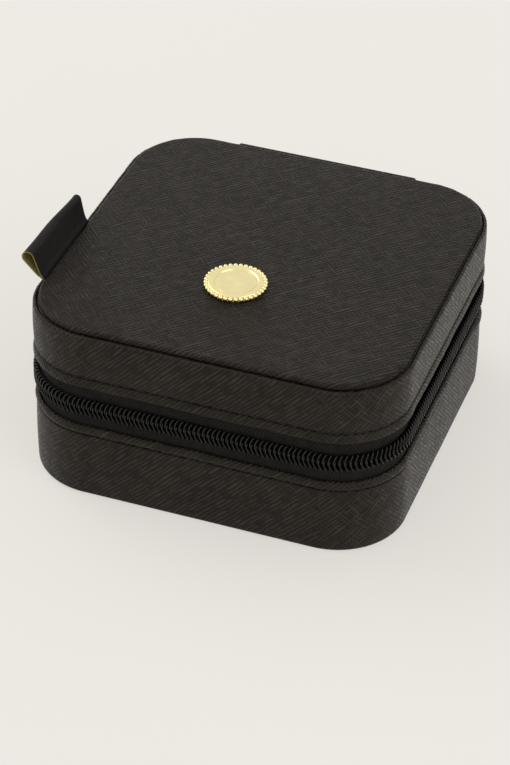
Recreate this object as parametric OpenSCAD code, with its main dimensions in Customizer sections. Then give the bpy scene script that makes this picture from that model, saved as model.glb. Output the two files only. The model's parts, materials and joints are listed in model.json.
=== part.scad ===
// Square travel case for jewellery: two soft-cornered leatherette shells over stiff tubs, a padded
// lid hinged along the back, and a nylon coil zip round the other sides.
// Z = 0 is the plane it rests on, the front faces -Y and the lid hinges along the back, at +Y.

/* [Case] */
// Width over the side bands
case_w = 100; // [92:1:130]
// Depth over the front and back bands
case_d = 100; // [92:1:130]
// Height up to the middle of the padded top
case_h = 51.1; // [49:0.1:60]
// Radius of the upright corners
corner_r = 18.7; // [16:0.1:24]
// Height of the leatherette band round the base
base_band_h = 22; // [20:0.1:30]
// Height between the two bands, where the zip shows
zip_opening = 12.1; // [12:0.1:15]
// Rise of the padded top above the seam
crown_h = 1.5; // [1.3:0.1:3]
// How much of that rise is the crown between the rolled edge and the middle
crown_rise = 0.2; // [0.1:0.1:0.8]

/* [Shells] */
// Thickness of the leatherette bands with their turned backing
band_t = 1; // [0.9:0.1:1.4]
// Rounding of the bands' outer edges
band_edge_r = 1; // [0.4:0.1:1]
// Thickness of the leatherette under the base
bottom_t = 1; // [0.6:0.1:1.6]
// Wall and floor thickness of both stiff tubs
tub_t = 2; // [1.5:0.1:2.5]
// Width of the groove between the lid band and the top panel
seam_gap = 0.3; // [0.2:0.1:1]
// Depth of the groove below the seam
groove_depth = 0.3; // [0.2:0.1:0.6]
// Thickness of the turned-in seam allowance at the bottom of the groove
welt_t = 0.8; // [0.5:0.1:1]
// How far the seam allowance reaches in over the lid tub
welt_w = 4; // [3:0.5:6]
// Thickness of the leatherette over the padded top
top_skin_t = 0.9; // [0.7:0.1:1.1]
// Radius of the padded top's rolled edge
top_roll_r = 1; // [0.9:0.1:1.5]

/* [Zip] */
// Thickness of the woven tape
tape_t = 0.6; // [0.4:0.1:0.8]
// Width of the meshed coil pair
chain_w = 5.2; // [4.6:0.1:6]
// Height by which the two coils mesh
mesh_overlap = 1.2; // [0.8:0.1:1.4]
// Pitch of the coil's loops along the tape
coil_pitch = 1.25; // [1.2:0.05:1.6]
// Thickness of one loop along the tape
loop_t = 0.5; // [0.4:0.02:0.52]
// Depth of the coil, from the tape outwards
coil_depth = 1.6; // [1.5:0.1:2]
// Thickness of the nylon round a loop's eye
coil_wire = 0.55; // [0.4:0.05:0.6]
// Gap between the two tapes behind the coil
tape_gap = 3; // [2.8:0.1:3.2]
// How far each tape is sewn in behind its band
tape_tuck = 4; // [3:0.5:6]
// Length of the stops at the end of the two coils
stop_len = 1.8; // [1.4:0.1:2.5]
// Gap between the closed slider and the stops
stop_gap = 0.3; // [0.2:0.05:0.5]
// Length of bare tape past the slider, up to where the tapes turn in
tape_end = 2.5; // [2.2:0.1:4]
// How far the zip runs into the corner at the right of the hinge, in degrees
zip_end_angle = 45; // [20:1:50]

/* [Slider] */
// Length of the slider body along the zip
slider_len = 11; // [10:0.5:13]
// Width of the slider body across the zip
slider_w = 8.6; // [8:0.1:9]
// Width of the slider's narrow rear mouth
slider_rear_w = 7.4; // [7.2:0.1:7.8]
// Thickness of each of the slider's two plates
slider_plate_t = 1; // [0.8:0.1:1.2]
// Running clearance between the slider and what passes through it
slider_clear = 0.15; // [0.1:0.05:0.2]
// Distance from the slider's middle to the rear corner's start, zip closed
slider_rest = 7.3; // [7:0.1:10]
// Length of the post in the slider that parts the two coils
post_len = 3; // [2.5:0.1:3.5]
// Distance from that post to the slider's divided end
post_setback = 0.8; // [0.6:0.1:1.2]
// Gap between that post and each tape
post_gap = 0.4; // [0.3:0.05:0.5]
// Diameter of the rod that carries the pull
rod_d = 1.4; // [1.2:0.1:1.8]
// Radial clearance of the pull on its rod
rod_clear = 0.08; // [0.05:0.01:0.1]
// Wall round the pull's eye
eye_wall = 1; // [0.8:0.1:1.2]
// Gap between the turning pull and the slider
eye_gap = 0.3; // [0.2:0.05:0.5]
// Length of the rod between its posts
rod_len = 3.4; // [3:0.1:4]
// Thickness of those posts
rod_post_t = 1; // [0.8:0.1:1.4]
// Gap between the pull's eye and each of those posts
rod_end_gap = 0.3; // [0.2:0.05:0.5]
// Length of the pull from the rod to its tip
pull_len = 16; // [12:0.5:17]
// Width of the pull
pull_w = 5.4; // [4:0.1:7]
// Thickness of the pull
pull_t = 1.2; // [1:0.1:1.6]

/* [Hinge] */
// Width of the leatherette strip across the back
hinge_strip_w = 51; // [40:1:56]
// Thickness of the hinge strip
hinge_strip_t = 0.8; // [0.6:0.1:1]
// Height of the hinge strip's lower edge above the resting plane
hinge_strip_low = 7; // [4:0.5:12]
// Radius of the hinge strip's lower corners
hinge_strip_r = 3; // [1:0.5:6]
// Thickness of the inner hinge lining
hinge_lining_t = 0.8; // [0.5:0.1:1]

/* [Badge] */
// Distance of the badge to the left of the middle
badge_left = 2; // [0:0.1:8]
// Distance of the badge in front of the middle
badge_front = 16.6; // [8:0.1:20]
// Diameter over the beads
badge_d = 16.6; // [14:0.1:20]
// Height of the badge's ring above the leatherette
badge_h = 1.5; // [1.2:0.1:2]
// Number of beads in the rim
bead_count = 36; // [28:1:38]
// Diameter of one bead
bead_d = 1.3; // [1.1:0.05:1.4]
// Diameter of the recessed disc inside the ring
badge_recess_d = 11.1; // [9:0.1:11.5]
// Depth of the recessed disc
badge_recess_h = 0.5; // [0.3:0.05:0.7]
// Width of each of the two prongs
prong_w = 1.6; // [1.2:0.1:2]
// Thickness of the prongs
prong_t = 0.4; // [0.3:0.05:0.5]
// Distance of each prong from the badge's middle
prong_offset = 3; // [2.5:0.1:3.5]
// Clearance of the prongs in their slots
prong_clear = 0.15; // [0.1:0.05:0.2]
// Diameter of the washer inside the lid
washer_d = 12; // [10:0.5:14]
// Thickness of the washer
washer_t = 0.4; // [0.3:0.05:0.5]

/* [Label] */
// Width of the folded ribbon label along the left seam
label_w = 29; // [20:1:34]
// Distance of the label's rear end in front of the middle
label_front = 1.5; // [0:0.5:10]
// Length of the loop from the seam to its fold
label_len = 9.5; // [7:0.1:11]
// Radius of the loop's fold
label_fold_r = 1.7; // [1.2:0.1:2.2]
// Thickness of the ribbon
label_t = 0.4; // [0.3:0.05:0.5]
// Lean of the loop, outwards from upright
label_lean = 32; // [20:1:40]

/* [Inside] */
// Thickness of the padded lining inside the lid
lid_lining_t = 0.8; // [0.6:0.1:1]
// Clearance between the tray's lip and the lid's lining
lip_clear = 0.6; // [0.5:0.1:1]
// Thickness of the tray's lip
lip_t = 1; // [0.8:0.1:1.4]
// Height of the tray's lip above the base band
lip_h = 11; // [6:0.5:11]
// Thickness of the tray's floor lining
floor_lining_t = 0.8; // [0.6:0.1:1.2]
// Height of the ring rolls above their bed
roll_h = 17; // [14:0.5:18]
// Thickness of the bed under the ring rolls
roll_bed_t = 1.5; // [1:0.1:2]
// Gap between one ring roll and the next
roll_gap = 0.3; // [0.2:0.05:0.5]
// Thickness of the dividers
divider_t = 2; // [1.5:0.1:2.5]
// Distance of the long divider's middle behind the case's middle
divider_back = 1; // [-4:0.5:6]
// Height of the long divider above the tray's floor
divider_h = 20; // [14:0.5:22]
// How much lower the cross dividers stand than the long one
cross_divider_drop = 2; // [0:0.5:5]
// Distance between the two cross dividers' middles
cross_divider_spread = 29.2; // [20:0.1:40]
// Fitting gap round loose pieces in the tray
tray_gap = 0.3; // [0.2:0.05:0.4]
// Depth that the lid pocket stands off the lining
pocket_depth = 6.5; // [5:0.5:7]
// Thickness of the pocket's cloth
pocket_t = 0.8; // [0.5:0.1:1]
// Width of the lid pocket
pocket_w = 60; // [50:1:62]
// Distance from the middle of the case to the pocket's mouth
pocket_mouth = 4; // [2:0.5:10]
// Distance from the case's back to the pocket's sewn rear edge
pocket_rear = 12; // [10:0.5:16]
// Diameter of the elastic in the pocket's mouth
elastic_d = 2; // [1.6:0.1:2.4]
// Distance from one necklace tab to the next
tab_pitch = 18; // [15:0.5:19]
// Width of a necklace tab
tab_w = 9; // [8.5:0.5:12]
// Length of a necklace tab from its hinge to its snap
tab_len = 18; // [14:0.5:19]
// Thickness of a necklace tab
tab_t = 1; // [0.8:0.1:1.2]
// Distance of the tabs' hinges behind the case's front
tab_hinge_back = 16; // [14:0.5:18]
// Diameter of the tab's rolled hinge end
tab_knuckle_d = 3; // [2.6:0.1:3.4]
// Diameter of the snap's stud
stud_d = 3.4; // [3:0.1:3.8]
// Height of the snap's stud below its flange
stud_h = 1.6; // [1.4:0.1:2]
// Diameter of the snap's flange and cap
snap_d = 7; // [6.5:0.1:8]
// Clearance between the snap's stud and its cap
snap_clear = 0.25; // [0.2:0.05:0.3]

/* [Hidden] */
$fn = 72;

// Heights, from the resting plane up
lid_edge_z = base_band_h + zip_opening;
top_z = case_h;
seam_z = top_z - crown_h;
chain_z = base_band_h + zip_opening / 2;
tape_low_z = base_band_h - tape_tuck;
tape_high_z = lid_edge_z + tape_tuck;
floor_z = bottom_t + tub_t;
tray_z = floor_z + floor_lining_t;
base_rim_z = base_band_h;
lid_rim_z = lid_edge_z;
lip_z = base_band_h + lip_h;
welt_z = seam_z - groove_depth;
lid_board_z = welt_z - welt_t;
lid_ceiling_z = lid_board_z - tub_t;
lid_face_z = lid_ceiling_z - lid_lining_t;

// Insets from the case's outline, from the outside in
tub_inset = band_t + tape_t;
shell_inset = tub_inset + tub_t;
lip_inset = shell_inset + lid_lining_t + lip_clear;
tray_inset = lip_inset + lip_t;
panel_inset = band_t + seam_gap;

// Centres of the corner arcs
corner_x = case_w / 2 - corner_r;
corner_y = case_d / 2 - corner_r;

// Zip
loop_h = (chain_w + mesh_overlap) / 2;
coil_out = coil_depth - band_t;
slider_y = corner_y - slider_rest;
zip_left_end = slider_y + slider_len / 2 + tape_end;
coil_left_end = slider_y + 0.6;
post_w = tape_gap - 2 * post_gap;
plate_out_z = coil_out + slider_clear;
plate_in_z = -tub_inset - slider_clear;
rod_out = plate_out_z + slider_plate_t + rod_d / 2 + rod_clear + eye_wall + eye_gap;
rod_x = -case_w / 2 - rod_out;

// Tray
tray_half_w = case_w / 2 - tray_inset;
tray_half_d = case_d / 2 - tray_inset;
bay_front = divider_back + divider_t / 2 + tray_gap;
roll_count = 6;
roll_pitch = (2 * (tray_half_w - tray_gap) + roll_gap) / roll_count;
roll_w = roll_pitch - roll_gap;
roll_z = tray_z + roll_bed_t;

// Label
label_root_h = groove_depth + 0.6;
label_reach = label_len - label_fold_r;
label_half = asin(label_fold_r / label_reach);

// Necklace tabs
tab_count = 3;
knuckle_gap = 0.3;
strap_z = lid_face_z - tab_knuckle_d / 2 - knuckle_gap;
tab_hinge_y = tab_hinge_back - case_d / 2;
snap_y = tab_hinge_y + tab_len;
flange_t = 0.6;
cap_h = 1.1;
tab_pin_r = tab_knuckle_d / 5;
collar_d = stud_d + 2 * snap_clear + 1;

far = 2 * (case_w + case_d);

leatherette = [0.16, 0.15, 0.135];
tape_black = [0.09, 0.09, 0.088];
nylon_black = [0.12, 0.12, 0.12];
board_grey = [0.5, 0.48, 0.45];
foam_white = [0.88, 0.87, 0.83];
velvet = [0.42, 0.39, 0.37];
satin = [0.5, 0.47, 0.44];
pale_gold = [0.83, 0.74, 0.56];
ribbon = [0.2, 0.16, 0.1];

// ---- Shared shapes -------------------------------------------------------------------------

// The case's outline, drawn in by an inset
module outline(inset) {
  square([2 * corner_x, case_d - 2 * inset], center = true);
  square([case_w - 2 * inset, 2 * corner_y], center = true);
  for (sx = [-1, 1], sy = [-1, 1])
    translate([sx * corner_x, sy * corner_y]) circle(corner_r - inset);
}

// A plate of the outline between two heights
module slab(inset, low, high) {
  translate([0, 0, low]) linear_extrude(high - low) outline(inset);
}

// A wall along the outline between two insets and two heights
module wall(outer, inner, low, high) {
  translate([0, 0, low]) linear_extrude(high - low) difference() {
    outline(outer);
    outline(inner);
  }
}

// Takes a section round the outline: its x is the distance out from a corner's centre, its y the height
module sweep_outline() {
  for (k = [0 : 3]) {
    side = k % 2 == 0 ? [corner_x, corner_y] : [corner_y, corner_x];
    rotate(90 * k) translate([side[0], side[1], 0]) rotate_extrude(angle = 90) children();
    rotate(90 * k) translate([side[0], side[1], 0]) rotate([90, 0, 0])
      linear_extrude(2 * side[1]) children();
  }
}

// What a rounded outer edge leaves off: the part of a square outside a quarter circle
module edge_cut(r, up) {
  mirror([0, up ? 0 : 1]) translate([-r, -r]) difference() {
    square(r + 1);
    circle(r);
  }
}

// The section of a leatherette band, with its free edges rounded
module band_section(low, high, top_r, bottom_r) {
  difference() {
    translate([corner_r - band_t, low]) square([band_t, high - low]);
    if (top_r > 0) translate([corner_r, high]) edge_cut(top_r, true);
    if (bottom_r > 0) translate([corner_r, low]) edge_cut(bottom_r, false);
  }
}

// The padded top as a solid: a rolled edge and a crown that levels out over the middle
module cushion(inset, low, shoulder, crown, roll) {
  out = corner_r - inset;
  flat = out - roll;
  edge = [for (a = [0 : 15 : 90]) [flat + roll * cos(a), shoulder - roll + roll * sin(a)]];
  rise = [for (i = [1 : 6]) let (x = flat * (1 - i / 6))
    [x, shoulder + (crown - shoulder) * (1 - pow(x / flat, 2))]];
  sweep_outline() polygon(concat([[0, low], [out, low]], edge, rise));
  translate([-corner_x, -corner_y, low]) cube([2 * corner_x, 2 * corner_y, crown - low]);
}

// ---- Base ----------------------------------------------------------------------------------

module base_band() {
  edge = min(band_edge_r, 0.9 * band_t);
  color(leatherette) sweep_outline()
    band_section(0, base_band_h, edge / 2, edge);
}

module base_bottom_panel() {
  color(leatherette) slab(band_t, 0, bottom_t);
}

// The tub steps in where the tape is sewn between it and the band
module base_tub() {
  color(board_grey) difference() {
    union() {
      slab(band_t, bottom_t, tape_low_z);
      slab(tub_inset, tape_low_z, base_rim_z);
    }
    slab(shell_inset, floor_z, base_rim_z + 1);
  }
}

// The tray: a floor, padded walls and a thinner lip that stands up inside the lid
module base_lining() {
  color(velvet) {
    slab(shell_inset, floor_z, tray_z);
    wall(shell_inset, tray_inset, tray_z, base_rim_z);
    wall(lip_inset, tray_inset, base_rim_z, lip_z);
  }
}

module roll_bed() {
  color(velvet) intersection() {
    slab(tray_inset, tray_z, roll_z);
    translate([-far / 2, bay_front, 0]) cube(far);
  }
}

// A padded roll with a round top, cut to the tray's corner where it meets one
module ring_roll(k) {
  x = -tray_half_w + tray_gap + roll_w / 2 + k * roll_pitch;
  color(velvet) intersection() {
    translate([x, tray_half_d, roll_z]) rotate([90, 0, 0])
      linear_extrude(tray_half_d - bay_front) {
        translate([-roll_w / 2, 0]) square([roll_w, roll_h - roll_w / 2]);
        translate([0, roll_h - roll_w / 2]) circle(roll_w / 2);
      }
    slab(tray_inset + tray_gap, roll_z, roll_z + roll_h + 1);
  }
}

module long_divider() {
  color(velvet) translate([-tray_half_w + tray_gap, divider_back - divider_t / 2, tray_z])
    cube([2 * (tray_half_w - tray_gap), divider_t, divider_h]);
}

// A divider across the front half, cut to the tray's wall
module cross_divider(side) {
  x = side * cross_divider_spread / 2 - divider_t / 2;
  length = tray_half_d + divider_back - divider_t / 2 - 2 * tray_gap;
  color(velvet) translate([x, -tray_half_d + tray_gap, tray_z])
    cube([divider_t, length, divider_h - cross_divider_drop]);
}

// ---- Zip -----------------------------------------------------------------------------------

// The stretch of the outline that has no zip: the back, and the corners up to the zip's ends
module back_zone() {
  polygon([
    [-far, zip_left_end], [0, zip_left_end], [corner_x, corner_y],
    [corner_x + far * cos(zip_end_angle), corner_y + far * sin(zip_end_angle)],
    [corner_x, corner_y + far], [-far, corner_y + far]]);
}

module tape(low, high) {
  color(tape_black) translate([0, 0, low]) linear_extrude(high - low) difference() {
    outline(band_t);
    outline(tub_inset);
    back_zone();
  }
}

// The zip's ends, which run on behind the hinge strip to the middle of the back
module tape_return(side) {
  color(tape_black) translate([0, 0, tape_low_z]) linear_extrude(tape_high_z - tape_low_z)
    intersection() {
      difference() {
        outline(band_t);
        outline(tub_inset);
      }
      back_zone();
      translate([side > 0 ? 0.1 : -far - 0.1, -far / 2]) square(far);
    }
}

// One loop of the coil: a flat eye that stands out from the tape, its length across the zip
module coil_loop(low) {
  r = coil_depth / 2;
  hole = r - coil_wire;
  translate([-band_t, loop_t / 2, low]) rotate([90, 0, 0]) linear_extrude(loop_t)
    difference() {
      union() {
        translate([r, r]) circle(r);
        translate([0, r]) square([2 * r, loop_h - 2 * r]);
        translate([r, loop_h - r]) circle(r);
      }
      translate([r - hole, r]) square([2 * hole, loop_h - 2 * r]);
    }
}

// Stretches of the zip's path: a start, an end, and for a corner its centre and angles
function stretches() = [
  ["arc", [corner_x, corner_y], zip_end_angle, 0],
  ["line", [case_w / 2, corner_y], [case_w / 2, -corner_y], 0],
  ["arc", [corner_x, -corner_y], 0, -90],
  ["line", [corner_x, -case_d / 2], [-corner_x, -case_d / 2], -90],
  ["arc", [-corner_x, -corner_y], -90, -180],
  ["line", [-case_w / 2, -corner_y], [-case_w / 2, coil_left_end], -180]];

function stretch_length(s) = s[0] == "arc"
  ? (corner_r + coil_out - coil_depth / 2) * abs(s[3] - s[2]) * PI / 180
  : norm(s[2] - s[1]);

// Stands its children at a share of a stretch, their x pointing out of the case
module on_stretch(s, share) {
  if (s[0] == "arc")
    translate(s[1]) rotate(s[2] + (s[3] - s[2]) * share) translate([corner_r, 0]) children();
  else
    translate(s[1] + (s[2] - s[1]) * share) rotate(s[3]) children();
}

// Loops at one phase of the pitch, so that the two coils mesh
module coil(low, phase) {
  color(nylon_black) for (s = stretches()) {
    count = floor(stretch_length(s) / coil_pitch);
    for (i = [0 : count - 1]) on_stretch(s, (i + phase) / count) coil_loop(low);
  }
}

// A clip over the tape's edge, where the slider stops
module zip_stop(side) {
  out = coil_depth - 0.4;
  low = side > 0 ? chain_z + tape_gap / 2 : chain_z - chain_w / 2;
  color(nylon_black)
    translate([-case_w / 2 + band_t - out, slider_y + slider_len / 2 + stop_gap, low])
      cube([out, stop_len, chain_w / 2 - tape_gap / 2]);
}

// ---- Slider, which runs along the left side -------------------------------------------------

// The outline of both plates: shoulders at the divided end, narrower where the meshed coil leaves
module slider_outline() {
  shoulder = slider_w / 4;
  rear = slider_rear_w / 4;
  for (s = [-1, 1]) {
    translate([slider_len / 2 - shoulder, s * (slider_w / 2 - shoulder)]) circle(shoulder);
    translate([-slider_len / 2 + rear, s * (slider_rear_w / 2 - rear)]) circle(rear);
  }
  polygon([
    [slider_len / 2 - shoulder, slider_w / 2], [slider_len / 2 - shoulder, -slider_w / 2],
    [-slider_len / 2 + rear, -slider_rear_w / 2], [-slider_len / 2 + rear, slider_rear_w / 2]]);
  translate([-slider_len / 2, -slider_rear_w / 4]) square([slider_len, slider_rear_w / 2]);
}

// Lays a shape on the left side: its x runs towards the hinge, its y up, its z out of the case
module on_left_side() {
  translate([-case_w / 2, slider_y, chain_z]) rotate([0, -90, 0]) rotate([0, 0, 90])
    mirror([0, 1, 0]) children();
}

module slider_body() {
  channel = chain_w / 2 + 2 * slider_clear;
  flange_low = -band_t + slider_clear;
  post_x = slider_len / 2 - post_len - post_setback;
  color(pale_gold) on_left_side() {
    translate([0, 0, plate_out_z]) linear_extrude(slider_plate_t) slider_outline();
    translate([0, 0, plate_in_z - slider_plate_t]) linear_extrude(slider_plate_t)
      slider_outline();
    // flanges that keep the coil in
    translate([0, 0, flange_low]) linear_extrude(plate_out_z - flange_low) difference() {
      slider_outline();
      square([slider_len + 2, 2 * channel], center = true);
    }
    // the post that parts the two coils
    translate([post_x, 0, plate_in_z - slider_plate_t / 2])
      linear_extrude(plate_out_z - plate_in_z + slider_plate_t)
        polygon([[0, 0], [post_len / 2, post_w / 2], [post_len, 0.4 * post_w],
          [post_len, -0.4 * post_w], [post_len / 2, -post_w / 2]]);
    // the rod that carries the pull, between two posts
    translate([-rod_len / 2 - rod_post_t, 0, rod_out]) rotate([0, 90, 0])
      cylinder(d = rod_d, h = rod_len + 2 * rod_post_t);
    for (s = [-1, 1])
      translate([s * (rod_len + rod_post_t) / 2 - rod_post_t / 2, -rod_d / 2, plate_out_z])
        cube([rod_post_t, rod_d, rod_out - plate_out_z]);
  }
}

// A flat tab with an eye that turns on the slider's rod, hanging down
module pull_tab() {
  eye_r = rod_d / 2 + rod_clear + eye_wall;
  eye_len = rod_len - 2 * rod_end_gap;
  grip_r = pull_w / 2;
  color(pale_gold) translate([rod_x, slider_y, chain_z]) difference() {
    union() {
      rotate([90, 0, 0]) cylinder(r = eye_r, h = eye_len, center = true);
      translate([pull_t / 2, 0, 0]) rotate([0, -90, 0]) linear_extrude(pull_t) {
        translate([-pull_len + grip_r, 0]) circle(grip_r);
        translate([-pull_len + grip_r, -pull_w / 2])
          square([pull_len - grip_r - eye_r - 1, pull_w]);
        translate([-eye_r - 2, -eye_len / 2]) square([eye_r + 2, eye_len]);
      }
    }
    rotate([90, 0, 0]) cylinder(r = rod_d / 2 + rod_clear, h = pull_w + 2, center = true);
    // the slot in the grip
    translate([pull_t, 0, -pull_len + grip_r + 1]) rotate([0, -90, 0])
      linear_extrude(2 * pull_t) {
        circle(pull_w / 5);
        translate([0, -pull_w / 5]) square([pull_len / 4, 2 * pull_w / 5]);
        translate([pull_len / 4, 0]) circle(pull_w / 5);
      }
  }
}

// ---- Hinge ---------------------------------------------------------------------------------

// A strip over the back of both bands, turned over the lid band's edge towards the top seam
module hinge_strip() {
  r = hinge_strip_r;
  top = seam_z + hinge_strip_t;
  color(leatherette) {
    translate([0, case_d / 2 + hinge_strip_t, 0]) rotate([90, 0, 0])
      linear_extrude(hinge_strip_t) {
        translate([-hinge_strip_w / 2, hinge_strip_low + r])
          square([hinge_strip_w, top - hinge_strip_low - r]);
        translate([-hinge_strip_w / 2 + r, hinge_strip_low]) square([hinge_strip_w - 2 * r, 2 * r]);
        for (s = [-1, 1]) translate([s * (hinge_strip_w / 2 - r), hinge_strip_low + r]) circle(r);
      }
    translate([-hinge_strip_w / 2, case_d / 2 - band_t, seam_z])
      cube([hinge_strip_w, band_t + hinge_strip_t, hinge_strip_t]);
  }
}

module hinge_lining() {
  color(velvet) translate([-corner_x, case_d / 2 - shell_inset, base_rim_z])
    cube([2 * corner_x, hinge_lining_t, lid_rim_z - base_rim_z]);
}

// ---- Lid -----------------------------------------------------------------------------------

module lid_band() {
  edge = min(band_edge_r, 0.9 * band_t);
  color(leatherette) sweep_outline()
    band_section(lid_edge_z, seam_z, edge, edge / 2);
}

// The two slots that the badge's prongs pass through
module prong_slots() {
  for (s = [-1, 1])
    translate([-badge_left + s * prong_offset - prong_t / 2 - prong_clear,
        -badge_front - prong_w / 2 - prong_clear, lid_face_z])
      cube([prong_t + 2 * prong_clear, prong_w + 2 * prong_clear, top_z]);
}

// The room for the washer and the bent prongs, in the tub's underside
module washer_seat(extra) {
  translate([-badge_left, -badge_front, lid_ceiling_z - 1])
    cylinder(d = washer_d + extra, h = 1 + washer_t + prong_t + 0.2);
}

module lid_tub() {
  color(board_grey) difference() {
    union() {
      slab(tub_inset, lid_rim_z, tape_high_z);
      slab(band_t, tape_high_z, lid_board_z);
    }
    slab(shell_inset, lid_rim_z - 1, lid_ceiling_z);
    prong_slots();
    washer_seat(0.6);
  }
}

module lid_welt() {
  color(leatherette) wall(band_t, band_t + welt_w, lid_board_z, welt_z);
}

module padded_top(inset, low) {
  roll = min(top_roll_r, crown_h - crown_rise + groove_depth);
  cushion(panel_inset + inset, low, top_z - crown_rise - inset, top_z - inset, roll - inset);
}

module lid_foam() {
  color(foam_white) difference() {
    union() {
      padded_top(top_skin_t, welt_z);
      slab(band_t + welt_w, lid_board_z, welt_z);
    }
    prong_slots();
  }
}

module lid_top_panel() {
  color(leatherette) difference() {
    padded_top(0, welt_z);
    padded_top(top_skin_t, welt_z - 1);
    prong_slots();
  }
}

module badge_disc() {
  bead_ring = (badge_d - bead_d) / 2;
  ring_r = bead_ring - 0.15;
  color(pale_gold) translate([-badge_left, -badge_front, top_z]) {
    rotate_extrude() polygon([
      [0, 0], [ring_r, 0], [ring_r, badge_h - 0.45], [ring_r - 0.45, badge_h],
      [badge_recess_d / 2 + 0.35, badge_h], [badge_recess_d / 2, badge_h - badge_recess_h],
      [0, badge_h - badge_recess_h]]);
    for (i = [0 : bead_count - 1]) rotate(360 * i / bead_count)
      translate([bead_ring, 0, bead_d / 2]) sphere(d = bead_d, $fn = 24);
    for (s = [-1, 1]) {
      // a prong, and its bent end below the washer
      translate([s * prong_offset - prong_t / 2, -prong_w / 2, lid_ceiling_z - top_z + 0.1])
        cube([prong_t, prong_w, top_z - lid_ceiling_z]);
      translate([s > 0 ? prong_offset - prong_t / 2 : -prong_offset - 2, -prong_w / 2,
          lid_ceiling_z - top_z + 0.1])
        cube([2 + prong_t / 2, prong_w, prong_t]);
    }
  }
}

module badge_washer() {
  color(pale_gold) difference() {
    translate([-badge_left, -badge_front, lid_ceiling_z + prong_t + 0.2])
      cylinder(d = washer_d, h = washer_t);
    prong_slots();
  }
}

// A drop of one fold radius: a round fold, and two flat sides that meet towards the seam
module drop_shape(r) {
  side = [r * cos(label_half), label_reach - r * sin(label_half)];
  translate([0, label_reach]) circle(r);
  polygon([[0, label_reach - r / sin(label_half)], side, [-side[0], side[1]]]);
}

module label_loop() {
  root_x = -case_w / 2 + band_t + seam_gap / 2;
  color(ribbon) translate([root_x, -label_front, 0]) rotate([90, 0, 0]) linear_extrude(label_w) {
    translate([-seam_gap / 2, welt_z]) square([seam_gap, label_root_h]);
    translate([0, welt_z + label_root_h / 2]) rotate(label_lean) difference() {
      drop_shape(label_fold_r);
      drop_shape(label_fold_r - label_t);
    }
  }
}

module lid_lining() {
  color(velvet) {
    wall(shell_inset, shell_inset + lid_lining_t, lid_rim_z, lid_ceiling_z);
    slab(shell_inset + lid_lining_t, lid_face_z, lid_ceiling_z);
  }
}

// A flat pocket that is sewn along its back and sides, and open towards the front
module lid_pocket() {
  length = case_d / 2 - pocket_rear - pocket_mouth;
  color(satin) translate([-pocket_w / 2, pocket_mouth, lid_face_z - pocket_depth]) difference() {
    cube([pocket_w, length, pocket_depth]);
    translate([pocket_t, -1, pocket_t])
      cube([pocket_w - 2 * pocket_t, length - pocket_t + 1, pocket_depth]);
  }
}

module pocket_elastic() {
  color(satin) translate([0, pocket_mouth - elastic_d / 2, lid_face_z - pocket_depth + elastic_d / 2])
    rotate([0, 90, 0]) cylinder(d = elastic_d, h = pocket_w, center = true);
}

function tab_x(k) = (k - (tab_count - 1) / 2) * tab_pitch;

// The sewn end of a tab: two ears with a pin between them
module tab_anchor(k) {
  ear_t = 1;
  ear_w = 2;
  ear = tab_w / 2 + knuckle_gap;
  color(pale_gold) translate([tab_x(k), tab_hinge_y, strap_z]) {
    rotate([0, 90, 0]) cylinder(r = tab_pin_r, h = 2 * ear + ear_t, center = true);
    for (s = [-1, 1]) translate([s * (ear + ear_t / 2) - ear_t / 2, -ear_w / 2, -ear_w / 2])
      cube([ear_t, ear_w, lid_face_z - strap_z + ear_w / 2]);
  }
}

module necklace_tab(k) {
  color(satin) translate([tab_x(k), tab_hinge_y, strap_z]) difference() {
    union() {
      rotate([0, 90, 0]) cylinder(d = tab_knuckle_d, h = tab_w, center = true);
      translate([-tab_w / 2, 0, -tab_t / 2]) cube([tab_w, tab_len, tab_t]);
      translate([0, tab_len, -tab_t / 2]) cylinder(d = tab_w, h = tab_t);
    }
    rotate([0, 90, 0]) cylinder(r = tab_pin_r + rod_clear, h = tab_w + 2, center = true);
    translate([0, tab_len, -tab_t]) cylinder(d = collar_d, h = 2 * tab_t);
  }
}

// The stud hangs from a flange on the lid's lining
module snap_stud(k) {
  color(pale_gold) translate([tab_x(k), snap_y, lid_face_z]) {
    translate([0, 0, -flange_t]) cylinder(d = snap_d - 1, h = flange_t);
    translate([0, 0, -flange_t - stud_h]) cylinder(d = stud_d, h = stud_h);
  }
}

// A cap under the tab, whose socket takes the stud
module snap_cap(k) {
  color(pale_gold) translate([tab_x(k), snap_y, strap_z - tab_t / 2]) difference() {
    union() {
      translate([0, 0, -cap_h]) cylinder(d = snap_d, h = cap_h);
      cylinder(d = collar_d, h = tab_t);
    }
    translate([0, 0, -cap_h / 2]) cylinder(d = stud_d + 2 * snap_clear, h = tab_t + cap_h);
  }
}

// ---- Nodes ---------------------------------------------------------------------------------

base_tub();
base_band();
base_bottom_panel();
base_lining();
tape(tape_low_z, chain_z - tape_gap / 2);  // lower_tape
coil(chain_z - chain_w / 2, 0.25);  // lower_coil
roll_bed();
ring_roll(0);  // ring_roll_1
ring_roll(1);  // ring_roll_2
ring_roll(2);  // ring_roll_3
ring_roll(3);  // ring_roll_4
ring_roll(4);  // ring_roll_5
ring_roll(5);  // ring_roll_6
long_divider();
cross_divider(-1);  // cross_divider_1
cross_divider(1);  // cross_divider_2
zip_stop(-1);  // lower_zip_stop
lid_tub();
lid_foam();
lid_top_panel();
lid_band();
lid_welt();
badge_disc();
badge_washer();
label_loop();
tape(chain_z + tape_gap / 2, tape_high_z);  // upper_tape
coil(chain_z - mesh_overlap / 2, 0.75);  // upper_coil
zip_stop(1);  // upper_zip_stop
lid_lining();
lid_pocket();
pocket_elastic();
tab_anchor(0);  // tab_anchor_1
tab_anchor(1);  // tab_anchor_2
tab_anchor(2);  // tab_anchor_3
snap_stud(0);  // snap_stud_1
snap_stud(1);  // snap_stud_2
snap_stud(2);  // snap_stud_3
hinge_strip();
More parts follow.
